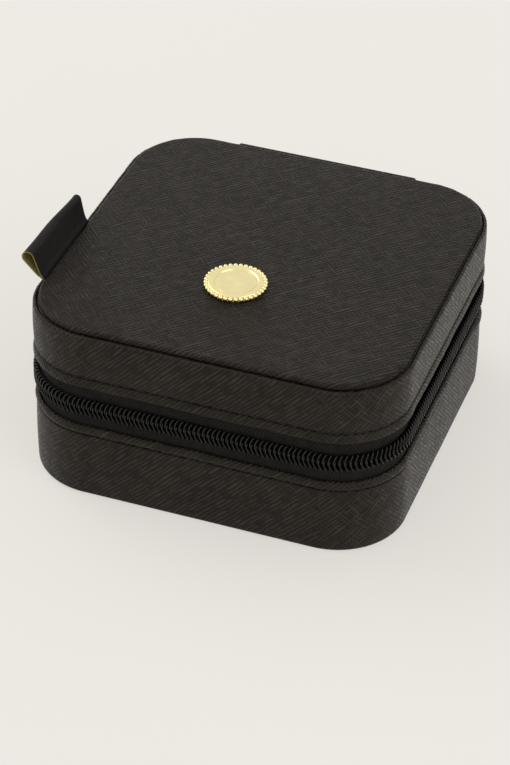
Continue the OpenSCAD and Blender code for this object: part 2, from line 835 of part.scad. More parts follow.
hinge_lining();
tape_return(-1);  // tape_return_left
tape_return(1);  // tape_return_right
slider_body();
pull_tab();
necklace_tab(0);  // necklace_tab_1
necklace_tab(1);  // necklace_tab_2
necklace_tab(2);  // necklace_tab_3
snap_cap(0);  // snap_cap_1
snap_cap(1);  // snap_cap_2
snap_cap(2);  // snap_cap_3
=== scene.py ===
"""Dresses a square jewellery case: leatherette, a coil zip, a beaded badge and a lined tray."""

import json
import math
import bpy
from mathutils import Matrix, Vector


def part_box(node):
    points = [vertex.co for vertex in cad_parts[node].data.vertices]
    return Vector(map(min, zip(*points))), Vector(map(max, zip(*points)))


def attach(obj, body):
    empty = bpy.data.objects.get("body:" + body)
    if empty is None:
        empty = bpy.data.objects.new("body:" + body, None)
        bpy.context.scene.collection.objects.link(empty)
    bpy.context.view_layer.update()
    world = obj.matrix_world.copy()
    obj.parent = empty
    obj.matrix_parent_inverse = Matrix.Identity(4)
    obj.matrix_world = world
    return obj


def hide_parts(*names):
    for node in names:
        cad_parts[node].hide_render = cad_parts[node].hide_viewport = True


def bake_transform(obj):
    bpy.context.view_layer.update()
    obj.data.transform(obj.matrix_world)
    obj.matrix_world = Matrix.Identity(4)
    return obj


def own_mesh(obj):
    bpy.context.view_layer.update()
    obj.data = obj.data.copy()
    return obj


bl_info = {
    "name": "Jewellery Case",
    "version": (1, 0, 0),
    "blender": (4, 5, 0),
    "location": "View3D > Sidebar > Jewellery Case",
    "description": "Leatherette, stitching, coil zip, badge and lining for a square jewellery case",
    "category": "Object",
}

from contextlib import contextmanager

import bmesh
import bpy
import numpy as np
from bpy.props import FloatProperty, FloatVectorProperty, IntProperty, PointerProperty
from mathutils import Matrix, Vector

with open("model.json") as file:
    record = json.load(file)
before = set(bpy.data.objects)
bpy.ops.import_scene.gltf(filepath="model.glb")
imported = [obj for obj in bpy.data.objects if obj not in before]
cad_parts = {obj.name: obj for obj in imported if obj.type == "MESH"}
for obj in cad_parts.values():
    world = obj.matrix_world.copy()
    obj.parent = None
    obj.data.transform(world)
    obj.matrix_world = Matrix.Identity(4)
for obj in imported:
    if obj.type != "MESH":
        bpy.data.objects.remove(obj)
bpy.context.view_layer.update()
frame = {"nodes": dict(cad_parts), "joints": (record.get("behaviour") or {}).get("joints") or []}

# ---- Sizes of the case, in metres, from its solids -------------------------------------------

MM = 0.001
HALF_W, HALF_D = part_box("base_band")[1].x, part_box("base_band")[1].y
BAND_T = HALF_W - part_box("lower_tape")[1].x
BASE_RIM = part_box("base_band")[1].z
LID_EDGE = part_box("lid_band")[0].z
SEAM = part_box("lid_band")[1].z
TOP_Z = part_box("lid_top_panel")[1].z
WELT_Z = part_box("lid_top_panel")[0].z
PANEL_INSET = HALF_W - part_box("lid_top_panel")[1].x
SLIDER_RUN = next(joint for joint in frame["joints"]
                  if joint["name"] == "slider_travel")["range_m"][1]

# sizes of the solids that no box shows
CORNER_R = 18.7 * MM
TAPE_T = 0.6 * MM
COIL_DEPTH = 1.6 * MM
LIP_T = 1 * MM
TAB_T = 1 * MM
COLLAR_R = 2.45 * MM
STUD_HOLE_R = 1.95 * MM

CHAIN_Z = (BASE_RIM + LID_EDGE) / 2
CENTRE_X, CENTRE_Y = HALF_W - CORNER_R, HALF_D - CORNER_R
CORNER_ARC = CORNER_R * math.pi / 2

# The outline is walked anticlockwise from the middle of the back, in straight and round stretches
STRETCHES = np.cumsum([0, CENTRE_X, CORNER_ARC, 2 * CENTRE_Y, CORNER_ARC, 2 * CENTRE_X, CORNER_ARC,
                       2 * CENTRE_Y, CORNER_ARC, CENTRE_X])
OUTLINE_LENGTH = STRETCHES[-1]
STRETCH_CENTRES = np.array([
    (0, CENTRE_Y), (-CENTRE_X, CENTRE_Y), (-CENTRE_X, CENTRE_Y), (-CENTRE_X, -CENTRE_Y),
    (-CENTRE_X, -CENTRE_Y), (CENTRE_X, -CENTRE_Y), (CENTRE_X, -CENTRE_Y), (CENTRE_X, CENTRE_Y),
    (CENTRE_X, CENTRE_Y)])


def outline(u):
    """Points of the outline at distances u along it, and the directions out of the case there."""
    u = np.mod(np.atleast_1d(np.asarray(u, float)), OUTLINE_LENGTH)
    part = np.clip(np.searchsorted(STRETCHES, u, side="right") - 1, 0, len(STRETCH_CENTRES) - 1)
    along = u - STRETCHES[part]
    on_arc = part % 2 == 1
    angle = (1 + part // 2) * math.pi / 2 + np.where(on_arc, along / CORNER_R, 0)
    out = placed(np.cos(angle), np.sin(angle))
    forward = placed(-out[:, 1], out[:, 0])
    points = STRETCH_CENTRES[part] + CORNER_R * out + np.where(on_arc, 0, along)[:, None] * forward
    return points, out


def swept(u, section):
    """The points of a section of (out, height) pairs at each distance u along the outline."""
    points, out = outline(u)
    section = np.asarray(section, float)
    section = np.broadcast_to(section, (len(points),) + section.shape[-2:])
    flat = points[:, None, :] + section[..., :1] * out[:, None, :]
    return np.concatenate([flat, section[..., 1:]], axis=2)


def all_round(step):
    """Distances along the whole outline, about one step apart and without the closing one."""
    count = int(round(OUTLINE_LENGTH / step))
    return np.arange(count) * OUTLINE_LENGTH / count


def zip_start():
    """Distance along the outline at which the zip starts, on the left side."""
    return CENTRE_X + CORNER_ARC + (CENTRE_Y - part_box("tape_return_left")[0].y)


def coil_start():
    """Distance along the outline at which the coils start, inside the slider."""
    low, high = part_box("slider_body")
    return CENTRE_X + CORNER_ARC + (CENTRE_Y - (low.y + high.y) / 2 - 0.6 * MM)


def zip_end():
    """Distance along the outline at which the zip ends, half way round the right rear corner."""
    return OUTLINE_LENGTH - CENTRE_X - CORNER_ARC / 2


def depth_inside(x, y, radius):
    """How far points lie inside a rounded square with the case's corner centres and a radius."""
    dx, dy = np.abs(x) - CENTRE_X, np.abs(y) - CENTRE_Y
    outside = np.hypot(np.maximum(dx, 0), np.maximum(dy, 0))
    return radius - outside - np.minimum(np.maximum(dx, dy), 0)


def waves(u, counts, seed):
    """A gentle unevenness round the outline: sines with whole numbers of waves, from -1 to 1."""
    random = np.random.default_rng(seed)
    total = sum(np.sin(2 * math.pi * (n * u / OUTLINE_LENGTH + random.random())) for n in counts)
    return total / len(counts)


def fading(distance, reach):
    """1 at no distance, dying away over a reach in millimetres."""
    return np.exp(-distance / (reach * MM))


def dented(distance, width):
    """1 at no distance on either side, and almost nothing beyond a width in millimetres."""
    return np.exp(-(distance / (width * MM)) ** 2)


def placed(*coordinates):
    """Points from their coordinates, any of which may be the same for all."""
    return np.stack(np.broadcast_arrays(*coordinates), -1)


def arc(centre, radius, start, stop, count):
    """Points of an arc between two angles, which are given in quarter turns."""
    angle = np.linspace(start, stop, count) * math.pi / 2
    return placed(centre[0] + radius * np.cos(angle), centre[1] + radius * np.sin(angle))


def circle(sides):
    """Points round a circle with a radius of 1."""
    angle = np.arange(sides) * 2 * math.pi / sides
    return placed(np.cos(angle), np.sin(angle))


def rounded_end(height, radius):
    """How far a face falls back at a height from its end, where it ends in a quarter circle."""
    left = np.clip(radius - height, 0, radius)
    return radius - np.sqrt(np.maximum(radius ** 2 - left ** 2, 0))


# ---- Meshes ----------------------------------------------------------------------------------

def new_object(name, mesh):
    made = bpy.data.objects.new(name, mesh)
    bpy.context.scene.collection.objects.link(made)
    return made


@contextmanager
def editing(mesh):
    """Opens a mesh for bmesh's tools, and writes it back."""
    bm = bmesh.new()
    if mesh.vertices:
        bm.from_mesh(mesh)
    yield bm
    bm.to_mesh(mesh)
    bm.free()


def finished(made, material, body, slot, *nodes, sharp=40):
    """Gives a piece its shading, its material and body if any, and hides the solids it shows; its
    slot is not used.
    """
    if material:
        made.data.materials.clear()
        made.data.materials.append(material)
    made.data.shade_smooth()
    if sharp:
        made.data.set_sharp_from_angle(angle=math.radians(sharp))
    if body:
        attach(made, body)
    if nodes:
        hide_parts(*nodes)
    return made


def bending(made, material, slot, node):
    """Finishes a piece over the middle of the zip's opening, with no body, and bakes its place into
    its mesh.
    """
    finished(made, material, None, slot)
    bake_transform(made)
    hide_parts(node)


def surface(name, points, uv=None, closed=(False, False), capped=False):
    """Quads through a grid of points: its first direction crossed with its second faces out."""
    rows, columns = points.shape[:2]
    i, j = np.meshgrid(np.arange(rows - (not closed[0])), np.arange(columns - (not closed[1])),
                       indexing="ij")
    i2, j2 = (i + 1) % rows, (j + 1) % columns
    faces = np.stack([i * columns + j, i2 * columns + j, i2 * columns + j2, i * columns + j2], -1)
    mesh = bpy.data.meshes.new(name)
    mesh.from_pydata(points.reshape(-1, 3).tolist(), [], faces.reshape(-1, 4).tolist())
    if uv is not None:
        corners = np.stack([uv[i, j], uv[i + 1, j], uv[i + 1, j + 1], uv[i, j + 1]], 2)
        layer = mesh.uv_layers.new(name="UVMap")
        layer.data.foreach_set("uv", corners.reshape(-1).astype(np.float32))
    mesh.update()
    made = new_object(name, mesh)
    if capped:
        close_holes(made)
    return made


def lengths_of(points):
    """Running length along a row of points."""
    steps = np.linalg.norm(np.diff(points, axis=0), axis=1)
    return np.concatenate([[0], np.cumsum(steps)])


def close_holes(made):
    """Fills the open ends of a tube."""
    with editing(made.data) as bm:
        bmesh.ops.holes_fill(bm, edges=[e for e in bm.edges if e.is_boundary], sides=0)


def close_pole(made, ring, centre, flip=False):
    """Closes a ring of vertices with a fan to its centre."""
    with editing(made.data) as bm:
        bm.verts.ensure_lookup_table()
        around = [bm.verts[k] for k in ring]
        tip = bm.verts.new(centre)
        uv_layer = bm.loops.layers.uv.active
        for a, b in zip(around, around[1:] + around[:1]):
            face = bm.faces.new((b, a, tip) if flip else (a, b, tip))
            if uv_layer:
                for loop in face.loops:
                    loop[uv_layer].uv = loop.vert.co.xy


def swept_surface(name, u, section, closed_round=True):
    """Sweeps a closed section along the outline, with a UV map in metres along it and up it."""
    points = swept(u, section)
    middle = points[len(points) // 2]
    up = lengths_of(np.vstack([middle, middle[:1]]))
    along = np.append(u, OUTLINE_LENGTH) if closed_round else u
    uv = np.stack(np.meshgrid(along, up, indexing="ij"), -1)
    return surface(name, points, uv, (closed_round, True), capped=not closed_round)


def applied(made):
    """Turns a piece's modifiers into its mesh."""
    bpy.context.view_layer.update()
    depsgraph = bpy.context.evaluated_depsgraph_get()
    mesh = bpy.data.meshes.new_from_object(made.evaluated_get(depsgraph), depsgraph=depsgraph)
    made.modifiers.clear()
    made.data = mesh
    return made


def softened(node, name, width, material, body, slot, segments=3):
    """A piece shaped as a solid is, with its doubled vertices merged and its edges rounded."""
    mesh = frame["nodes"][node].data.copy()
    mesh.name = name
    with editing(mesh) as bm:
        bmesh.ops.remove_doubles(bm, verts=bm.verts, dist=1e-6)
        bmesh.ops.dissolve_limit(bm, angle_limit=math.radians(0.5), verts=bm.verts, edges=bm.edges)
    made = new_object(name, mesh)
    bevel = made.modifiers.new("Edges", "BEVEL")
    bevel.width = width
    bevel.segments = segments
    bevel.limit_method = "ANGLE"
    bevel.angle_limit = math.radians(35)
    return finished(applied(made), material, body, slot, node)


def joined(name, parts):
    """One mesh from several objects, which are removed."""
    mesh = bpy.data.meshes.new(name)
    with editing(mesh) as bm:
        for part in parts:
            bm.from_mesh(part.data)
    for part in parts:
        bpy.data.objects.remove(part)
    return new_object(name, mesh)


def revolved(name, profile, centre, steps=96):
    """A solid of revolution about an upright axis. Its profile runs from the bottom to the top."""
    profile = np.asarray(profile, float)
    flat = circle(steps)[:, None, :] * profile[None, 1:-1, :1]
    height = np.broadcast_to(profile[None, 1:-1, 1:], flat.shape[:2] + (1,))
    made = surface(name, np.concatenate([flat, height], 2) + np.array(centre), closed=(True, False))
    centre = Vector(centre)
    inner = len(profile) - 2
    count = steps * inner
    close_pole(made, range(0, count, inner), centre + Vector((0, 0, profile[0][1])), flip=True)
    close_pole(made, range(inner - 1, count, inner), centre + Vector((0, 0, profile[-1][1])))
    return made


def tube(name, centres, radius, sides, across=(1.0, 0.0, 0.0), capped=True):
    """A round wire through points. Its path never runs along across."""
    centres = np.asarray(centres, float)
    ahead = np.gradient(centres, axis=0)
    ahead /= np.linalg.norm(ahead, axis=1)[:, None]
    side = np.cross(ahead, across)
    side /= np.linalg.norm(side, axis=1)[:, None]
    other = np.cross(side, ahead)
    radius = np.broadcast_to(radius, len(centres))[:, None, None]
    rings = centres[:, None, :] + radius * (circle(sides)[None, :, :1] * side[:, None, :]
                                            + circle(sides)[None, :, 1:] * other[:, None, :])
    return surface(name, rings[:, ::-1], closed=(False, True), capped=capped)


def stitch_profile(count, thickness, dive):
    """Places along a stitch, its depth there, as its ends dive in, and its radius."""
    along = np.linspace(-0.5, 0.5, count)
    to_end = np.abs(2 * along)
    return along, dive * to_end ** 4, thickness / 2 * (1 - 0.55 * to_end ** 5)


def one_stitch(length, thickness, dive):
    """A short thread along X that thins at both ends and may dive there, towards +Y."""
    y, z = circle(8).T
    rings = np.stack([placed(a * length, depth + radius * y, radius * z)
                      for a, depth, radius in zip(*stitch_profile(9, thickness, dive))])
    return surface("stitch", rings, closed=(False, True), capped=True)


def rounded_board(name, low, high, radius, seed, cell=1.6 * MM, puff=0.07 * MM):
    """A covered board between two corners: all its edges are round and its faces a bit uneven."""
    low, high = np.array(low), np.array(high)
    counts = np.maximum(2, np.ceil((high - low) / cell)).astype(int)
    mesh = bpy.data.meshes.new(name)
    with editing(mesh) as bm:
        def cut(axis, place):
            normal = [float(axis == a) for a in range(3)]
            bmesh.ops.bisect_plane(bm, geom=bm.verts[:] + bm.edges[:] + bm.faces[:],
                                   plane_co=[place * n for n in normal], plane_no=normal)

        bmesh.ops.create_cube(bm, size=1)
        for axis in range(3):
            for k in range(1, counts[axis]):
                cut(axis, k / counts[axis] - 0.5)
        for edge_share in (0.3, 0.75):
            for axis in range(3):
                for side in (-1, 1):
                    cut(axis, side * (0.5 - edge_share * radius / (high - low)[axis]))
    points = np.empty(len(mesh.vertices) * 3)
    mesh.vertices.foreach_get("co", points)
    points = low + (points.reshape(-1, 3) + 0.5) * (high - low)
    core = np.clip(points, low + radius, high - radius)
    away = points - core
    away /= np.linalg.norm(away, axis=1)[:, None]
    phase = np.random.default_rng(seed).uniform(0, 2 * math.pi, 3)
    swell = sum(np.sin(points[:, k] / (5.5 * MM) + phase[k]
                       + 1.7 * points[:, (k + 1) % 3] / (9 * MM)) for k in range(3)) / 3 - 1
    points = core + (radius + puff * swell[:, None]) * away
    mesh.vertices.foreach_set("co", points.ravel())
    mesh.update()
    return new_object(name, mesh)


# ---- Node trees ------------------------------------------------------------------------------

class Graph:
    """A node tree under construction. Each call adds a node and returns the socket that goes on."""

    def __init__(self, tree):
        self.tree = tree

    def link(self, value, socket):
        self.tree.links.new(value, socket)

    def fill(self, node, values):
        """Sets a node's inputs: links what is a socket, and writes the rest."""
        for key, value in values.items():
            if isinstance(value, bpy.types.NodeSocket):
                self.link(value, node.inputs[key])
            else:
                node.inputs[key].default_value = value
        return node.outputs

    def add(self, kind, values, output=0, **settings):
        made = self.tree.nodes.new(kind)
        for key, value in settings.items():
            setattr(made, key, value)
        return self.fill(made, values)[output]

    def group(self, tree, values):
        """Places a shader group and returns its outputs."""
        made = self.tree.nodes.new("ShaderNodeGroup")
        made.node_tree = tree
        return self.fill(made, values)

    def math(self, operation, a, b=0.0, c=0.0):
        return self.add("ShaderNodeMath", {0: a, 1: b, 2: c}, operation=operation)

    def vector(self, operation, a, b):
        return self.add("ShaderNodeVectorMath", {0: a, 1: b}, operation=operation)

    def scaled(self, vector, factor):
        return self.add("ShaderNodeVectorMath", {0: vector, "Scale": factor}, operation="SCALE")

    def counted(self, vector, size):
        """A vector counted in steps of a size."""
        return self.scaled(vector, self.math("DIVIDE", 1.0, size))

    def ripple(self, value, low, high):
        """A wave for each unit of a value, spread so that low is 0 and high is 1."""
        return self.spread(self.math("SINE", self.math("MULTIPLY", value, 2 * math.pi)), low, high)

    def noise(self, vector, scale, detail=2.0, roughness=0.5):
        return self.add("ShaderNodeTexNoise", {"Vector": vector, "Scale": scale, "Detail": detail,
                                               "Roughness": roughness})

    def spread(self, value, low, high, to_low=0.0, to_high=1.0):
        return self.add("ShaderNodeMapRange", {"Value": value, "From Min": low, "From Max": high,
                                               "To Min": to_low, "To Max": to_high})

    def blend(self, factor, a, b):
        return self.add("ShaderNodeMix", {"Factor": factor, "A": a, "B": b}, data_type="FLOAT")

    def colour(self, factor, low, high):
        """A colour that runs from one to another with a factor."""
        return self.add("ShaderNodeMix", {"Factor": factor, 6: (*low, 1), 7: (*high, 1)}, output=2,
                        data_type="RGBA")


def new_group(name, kind, inputs, outputs):
    """A node group. Its inputs are named with their number or their type, its outputs by type."""
    tree = bpy.data.node_groups.new(name, kind)
    for title, value in inputs.items():
        typed = isinstance(value, str)
        socket = value if typed else "Int" if isinstance(value, int) else "Float"
        made = tree.interface.new_socket(title, in_out="INPUT", socket_type="NodeSocket" + socket)
        if not typed:
            made.default_value = value
    for title, socket in outputs.items():
        tree.interface.new_socket(title, in_out="OUTPUT", socket_type="NodeSocket" + socket)
    given = tree.nodes.new("NodeGroupInput").outputs
    return Graph(tree), given, tree.nodes.new("NodeGroupOutput").inputs


def pattern(name, inputs, outputs):
    """A shader group that turns a place into values."""
    return new_group(name, "ShaderNodeTree", {"Vector": "Vector", **inputs},
                     {title: "Float" for title in outputs})


def once(maker):
    """Keeps what a maker of groups or materials returns, so that each is built once."""
    kept = {}

    def get(*arguments):
        if arguments not in kept:
            kept[arguments] = maker(*arguments)
        return kept[arguments]
    return get


# ---- Shared shader groups --------------------------------------------------------------------

@once
def cross_grain():
    """Ridges pressed along both diagonals, broken into strokes, as embossed leatherette is."""
    g, given, out = pattern("Cross grain", {"Pitch": 1 * MM, "Lean": 0.0}, ("Height", "Tone"))
    counted = g.counted(given["Vector"], given["Pitch"])
    strokes = []
    for angle, seed in ((45, 0.0), (-45, 37.0)):
        turned = g.add("ShaderNodeVectorRotate", {"Vector": counted, "Angle": math.radians(angle)},
                       rotation_type="Z_AXIS")
        across = g.add("ShaderNodeSeparateXYZ", {"Vector": turned})
        apart = g.vector("ADD", turned, (seed, seed, seed))

        def patches(stretch, low, high, least):
            clouds = g.noise(g.vector("MULTIPLY", apart, stretch), 1.0)
            return g.spread(clouds, low, high, least, 1.0)

        drift = g.noise(g.vector("MULTIPLY", apart, (0.4, 0.1, 0.4)), 1.0)
        wave = g.ripple(g.math("MULTIPLY_ADD", drift, 1.5, across), -0.75, 1.0)
        lines = patches((1.7, 0.2, 1.0), 0.34, 0.64, 0.25)
        broken = patches((0.45, 0.28, 1.0), 0.34, 0.6, 0.15)
        # a lean of 1 keeps the strokes of the first diagonal only, and -1 those of the second
        towards = g.math("MULTIPLY", given["Lean"], math.copysign(1, angle))
        share = g.spread(towards, -1.0, 0.25, 0.12, 1.0)
        strokes.append(g.math("MULTIPLY", g.math("MULTIPLY", wave, lines),
                              g.math("MULTIPLY", broken, share)))
    both = g.math("MAXIMUM", *strokes)
    g.link(g.math("MULTIPLY_ADD", g.noise(counted, 5.0), 0.12, both), out["Height"])
    g.link(g.noise(given["Vector"], 70.0, 3, 0.6), out["Tone"])
    return g.tree


@once
def twill():
    """Slanting ribs of thread that turn at regular widths, for tape, ribbon and satin."""
    g, given, out = pattern("Twill", {"Pitch": 0.6 * MM, "Slope": 1.0, "Turn Width": 2.0 * MM},
                            ("Height", "Tone"))
    apart = g.tree.nodes.new("ShaderNodeSeparateXYZ")
    g.link(given["Vector"], apart.inputs["Vector"])
    along, up = apart.outputs["X"], apart.outputs["Y"]
    folded = g.math("PINGPONG", up, given["Turn Width"])
    slanted = g.math("MULTIPLY_ADD", folded, given["Slope"], along)
    rib = g.ripple(g.math("DIVIDE", slanted, given["Pitch"]), -0.8, 0.9)
    threads = g.math("DIVIDE", up, g.math("MULTIPLY", given["Pitch"], 0.55))
    crossing = g.math("MULTIPLY", g.ripple(threads, -1.0, 1.0), rib)
    g.link(g.math("MULTIPLY_ADD", crossing, 0.35, g.math("MULTIPLY", rib, 0.65)), out["Height"])
    g.link(g.noise(given["Vector"], 400.0, 3, 0.6), out["Tone"])
    return g.tree


@once
def nap():
    """Short pile that leans in patches, for velvet and the floor's paper."""
    g, given, out = pattern("Nap", {"Patch": 8 * MM, "Hair": 0.25 * MM}, ("Height", "Tone"))
    leaning = g.noise(g.counted(given["Vector"], given["Patch"]), 1.0, 3, 0.55)
    hairs = g.noise(g.counted(given["Vector"], given["Hair"]), 1.0, 2, 0.7)
    g.link(hairs, out["Height"])
    g.link(g.math("MULTIPLY_ADD", hairs, 0.3, g.math("MULTIPLY", leaning, 0.7)), out["Tone"])
    return g.tree


@once
def rubbed():
    """Soft smudges and hair-fine scratches on smooth metal and nylon."""
    g, given, out = pattern("Rubbed", {"Size": 3 * MM}, ("Smudge", "Scratch"))
    counted = g.counted(given["Vector"], given["Size"])
    g.link(g.noise(counted, 1.0, 4, 0.6), out["Smudge"])
    long = g.vector("MULTIPLY", counted, (1.5, 22.0, 22.0))
    g.link(g.spread(g.noise(long, 1.0), 0.42, 0.62), out["Scratch"])
    return g.tree


# ---- Materials -------------------------------------------------------------------------------

DARK_THREAD = (0.0022, 0.002, 0.0018)


def new_material(name, settings):
    """A material with a Principled shader whose even values are set on its own sockets."""
    made = bpy.data.materials.new(name)
    made.use_nodes = True
    made.node_tree.nodes.clear()
    g = Graph(made.node_tree)
    shader = made.node_tree.nodes.new("ShaderNodeBsdfPrincipled")
    g.fill(shader, settings)
    end = made.node_tree.nodes.new("ShaderNodeOutputMaterial")
    g.link(shader.outputs["BSDF"], end.inputs["Surface"])
    return made, g, shader


def place_on(g, mapped=False):
    """The coordinates a pattern follows: the piece's own UV map, or its Object coordinates."""
    return g.add("ShaderNodeTexCoord", {}, output="UV" if mapped else "Object")


def wire(g, shader, colour, roughness, height, depth):
    """Links what varies over a surface to its shader."""
    g.link(colour, shader.inputs["Base Color"])
    g.link(roughness, shader.inputs["Roughness"])
    bump = g.add("ShaderNodeBump", {"Height": height, "Strength": 1.0, "Distance": depth})
    g.link(bump, shader.inputs["Normal"])


def varied(g, shader, mask, limits, colours, roughness, height, depth):
    """Lets one mask run a surface's colour and roughness, between limits, over bumps of a depth."""
    wire(g, shader, g.colour(g.spread(mask, *limits), *colours),
         g.spread(mask, *limits, *roughness), height, depth)


def times(factor, colour):
    return tuple(factor * c for c in colour)


@once
def leatherette(mapped):
    """Leatherette laid on by a UV map: round a "band", or flat on a "sheet"."""
    look = bpy.context.scene.case_leather
    gloss = look.gloss * (look.top_share if mapped == "sheet" else 1)
    made, g, shader = new_material("leatherette", {
        "Specular IOR Level": gloss, "Specular Tint": (*look.gloss_colour, 1)})
    where = place_on(g, mapped)
    # off the bands, the first diagonal's painted highlights are the stronger ones, where the light
    # catches them more
    lean = 0.42
    if mapped == "band":
        # one diagonal's strokes show on the front and back, and the other's on the sides, as the
        # light catches them there: painted highlight, chosen by side
        along = g.add("ShaderNodeSeparateXYZ", {"Vector": where})
        lean = g.math("COSINE", g.math("MULTIPLY", along, 4 * math.pi / OUTLINE_LENGTH))
    grain = g.group(cross_grain(), {"Vector": where, "Pitch": look.grain_pitch, "Lean": lean})
    # the pressed ridges are coloured several times lighter than the leather: a painted highlight on
    # them; the rest of this tone differs at random
    tone = g.math("MULTIPLY_ADD", grain["Height"], 0.75, g.math("MULTIPLY", grain["Tone"], 0.3))
    roughness = g.spread(grain["Height"], 0.0, 1.0, look.roughness + 0.1, look.roughness - 0.14)
    colour = g.colour(g.spread(tone, 0.12, 0.85), times(look.valley, look.colour),
                      times(look.ridge_highlight, look.colour))
    wire(g, shader, colour, roughness, grain["Height"], look.grain_depth)
    return made


@once
def woven(name, dark, light, pitch, turn_width, slope, roughness, sheen, mapped):
    """Cloth with slanting ribs."""
    made, g, shader = new_material(name, {
        "Sheen Weight": sheen, "Sheen Roughness": 0.4, "Specular IOR Level": 0.2})
    ribs = g.group(twill(), {"Vector": place_on(g, mapped), "Pitch": pitch, "Slope": slope,
                             "Turn Width": turn_width})
    tone = g.math("MULTIPLY_ADD", ribs["Height"], 0.6, g.math("MULTIPLY", ribs["Tone"], 0.5))
    wire(g, shader, g.colour(g.spread(tone, 0.1, 0.9), dark, light),
         g.spread(ribs["Tone"], 0.3, 0.7, roughness + 0.08, roughness - 0.08), ribs["Height"],
         0.14 * MM)
    return made


def tape_cloth():
    return woven("zip_tape", (0.0008, 0.0007, 0.0006), (0.019, 0.0165, 0.0142), 0.95 * MM,
                 2.1 * MM, 0.8, 0.85, 0.0, True)


def satin_cloth():
    return woven("satin", (0.2, 0.175, 0.15), (0.34, 0.3, 0.26), 0.3 * MM, 40 * MM, 1.0, 0.38, 0.3,
                 False)


def ribbon(name, dark, light, roughness, sheen):
    return woven(name, dark, light, 0.36 * MM, 30 * MM, 0.2, roughness, sheen, True)


@once
def velvet():
    look = bpy.context.scene.case_lining
    made, g, shader = new_material("velvet", {
        "Sheen Weight": 0.8, "Sheen Roughness": 0.35, "Sheen Tint": (*look.sheen_colour, 1),
        "Specular IOR Level": 0.1})
    pile = g.group(nap(), {"Vector": place_on(g)})
    varied(g, shader, pile["Tone"], (0.3, 0.7), (times(0.6, look.colour), times(1.3, look.colour)),
           (0.9, 0.8), pile["Height"], 0.12 * MM)
    return made


@once
def pale_gold():
    look = bpy.context.scene.case_badge
    made, g, shader = new_material("pale_gold", {"Metallic": 1.0})
    worn = g.group(rubbed(), {"Vector": place_on(g)})
    varied(g, shader, worn["Smudge"], (0.3, 0.7), (times(0.93, look.colour), look.colour),
           (look.roughness - 0.04, look.roughness + 0.06), worn["Scratch"], 0.002 * MM)
    return made


@once
def nylon():
    made, g, shader = new_material("zip_coil", {"Specular IOR Level": 0.32})
    worn = g.group(rubbed(), {"Vector": place_on(g), "Size": 1.2 * MM})
    varied(g, shader, worn["Smudge"], (0.3, 0.7), ((0.003, 0.003, 0.003), (0.006, 0.006, 0.0055)),
           (0.16, 0.24), worn["Scratch"], 0.01 * MM)
    return made


@once
def thread(colour):
    made, g, shader = new_material("thread", {"Specular IOR Level": 0.3, "Sheen Weight": 0.1})
    strands = g.noise(place_on(g), 5200.0)
    varied(g, shader, strands, (0.35, 0.65), (colour, times(2.4, colour)), (0.62, 0.5), strands,
           0.05 * MM)
    return made


@once
def dull_cord():
    made, g, shader = new_material("coil_cord", {"Specular IOR Level": 0.02})
    strands = g.noise(place_on(g), 3800.0)
    varied(g, shader, strands, (0.35, 0.65), ((0.0006, 0.0006, 0.0006), (0.003, 0.003, 0.0028)),
           (0.95, 0.85), strands, 0.05 * MM)
    return made


@once
def board():
    made, g, shader = new_material("board", {"Specular IOR Level": 0.2})
    fibres = g.noise(g.vector("MULTIPLY", place_on(g), (1.0, 1.0, 3.0)), 900.0, 4, 0.7)
    varied(g, shader, fibres, (0.35, 0.65), ((0.15, 0.135, 0.12), (0.27, 0.25, 0.22)), (0.95, 0.8),
           fibres, 0.05 * MM)
    return made


@once
def foam():
    made, g, shader = new_material("foam", {"Specular IOR Level": 0.15})
    pores = g.add("ShaderNodeTexVoronoi", {"Vector": place_on(g), "Scale": 1600.0})
    varied(g, shader, pores, (0.1, 0.7), ((0.45, 0.43, 0.38), (0.78, 0.76, 0.7)), (0.95, 0.85),
           pores, 0.15 * MM)
    return made


# ---- Geometry Nodes --------------------------------------------------------------------------

@once
def row_tree():
    """Instances of one object, turned along a line and a pitch apart."""
    g, given, out = new_group(
        "Row along a line", "GeometryNodeTree",
        {"Line": "Geometry", "Shape": "Object", "Pitch": 3 * MM, "Join Distance": 0.0,
         "Material": "Material"}, {"Geometry": "Geometry"})
    curve = g.add("GeometryNodeMeshToCurve", {"Mesh": given["Line"]})
    stops = g.tree.nodes.new("GeometryNodeCurveToPoints")
    stops.mode = "LENGTH"
    g.fill(stops, {"Curve": curve, "Length": given["Pitch"]})
    turned = g.add("FunctionNodeAlignRotationToVector", {"Vector": stops.outputs["Tangent"]},
                   axis="X", pivot_axis="Z")
    shape = g.add("GeometryNodeObjectInfo", {"Object": given["Shape"]}, output="Geometry")
    instances = g.add("GeometryNodeInstanceOnPoints", {
        "Points": stops.outputs["Points"], "Instance": shape, "Rotation": turned})
    real = g.add("GeometryNodeRealizeInstances", {"Geometry": instances})
    welded = g.add("GeometryNodeMergeByDistance", {
        "Geometry": real, "Distance": given["Join Distance"]})
    g.link(g.add("GeometryNodeSetMaterial", {"Geometry": welded, "Material": given["Material"]}),
           out["Geometry"])
    return g.tree


@once
def bead_tree():
    """Balls in a ring."""
    g, given, out = new_group(
        "Ring of beads", "GeometryNodeTree",
        {"Ring": "Geometry", "Count": 36, "Ring Radius": 7.6 * MM, "Bead Radius": 0.65 * MM,
         "Material": "Material"}, {"Geometry": "Geometry"})
    ring = g.add("GeometryNodeMeshCircle", {
        "Vertices": given["Count"], "Radius": given["Ring Radius"]})
    ball = g.add("GeometryNodeMeshUVSphere", {
        "Segments": 20, "Rings": 12, "Radius": given["Bead Radius"]})
    instances = g.add("GeometryNodeInstanceOnPoints", {"Points": ring, "Instance": ball})
    real = g.add("GeometryNodeRealizeInstances", {"Geometry": instances})
    g.link(g.add("GeometryNodeSetMaterial", {"Geometry": real, "Material": given["Material"]}),
           out["Geometry"])
    return g.tree


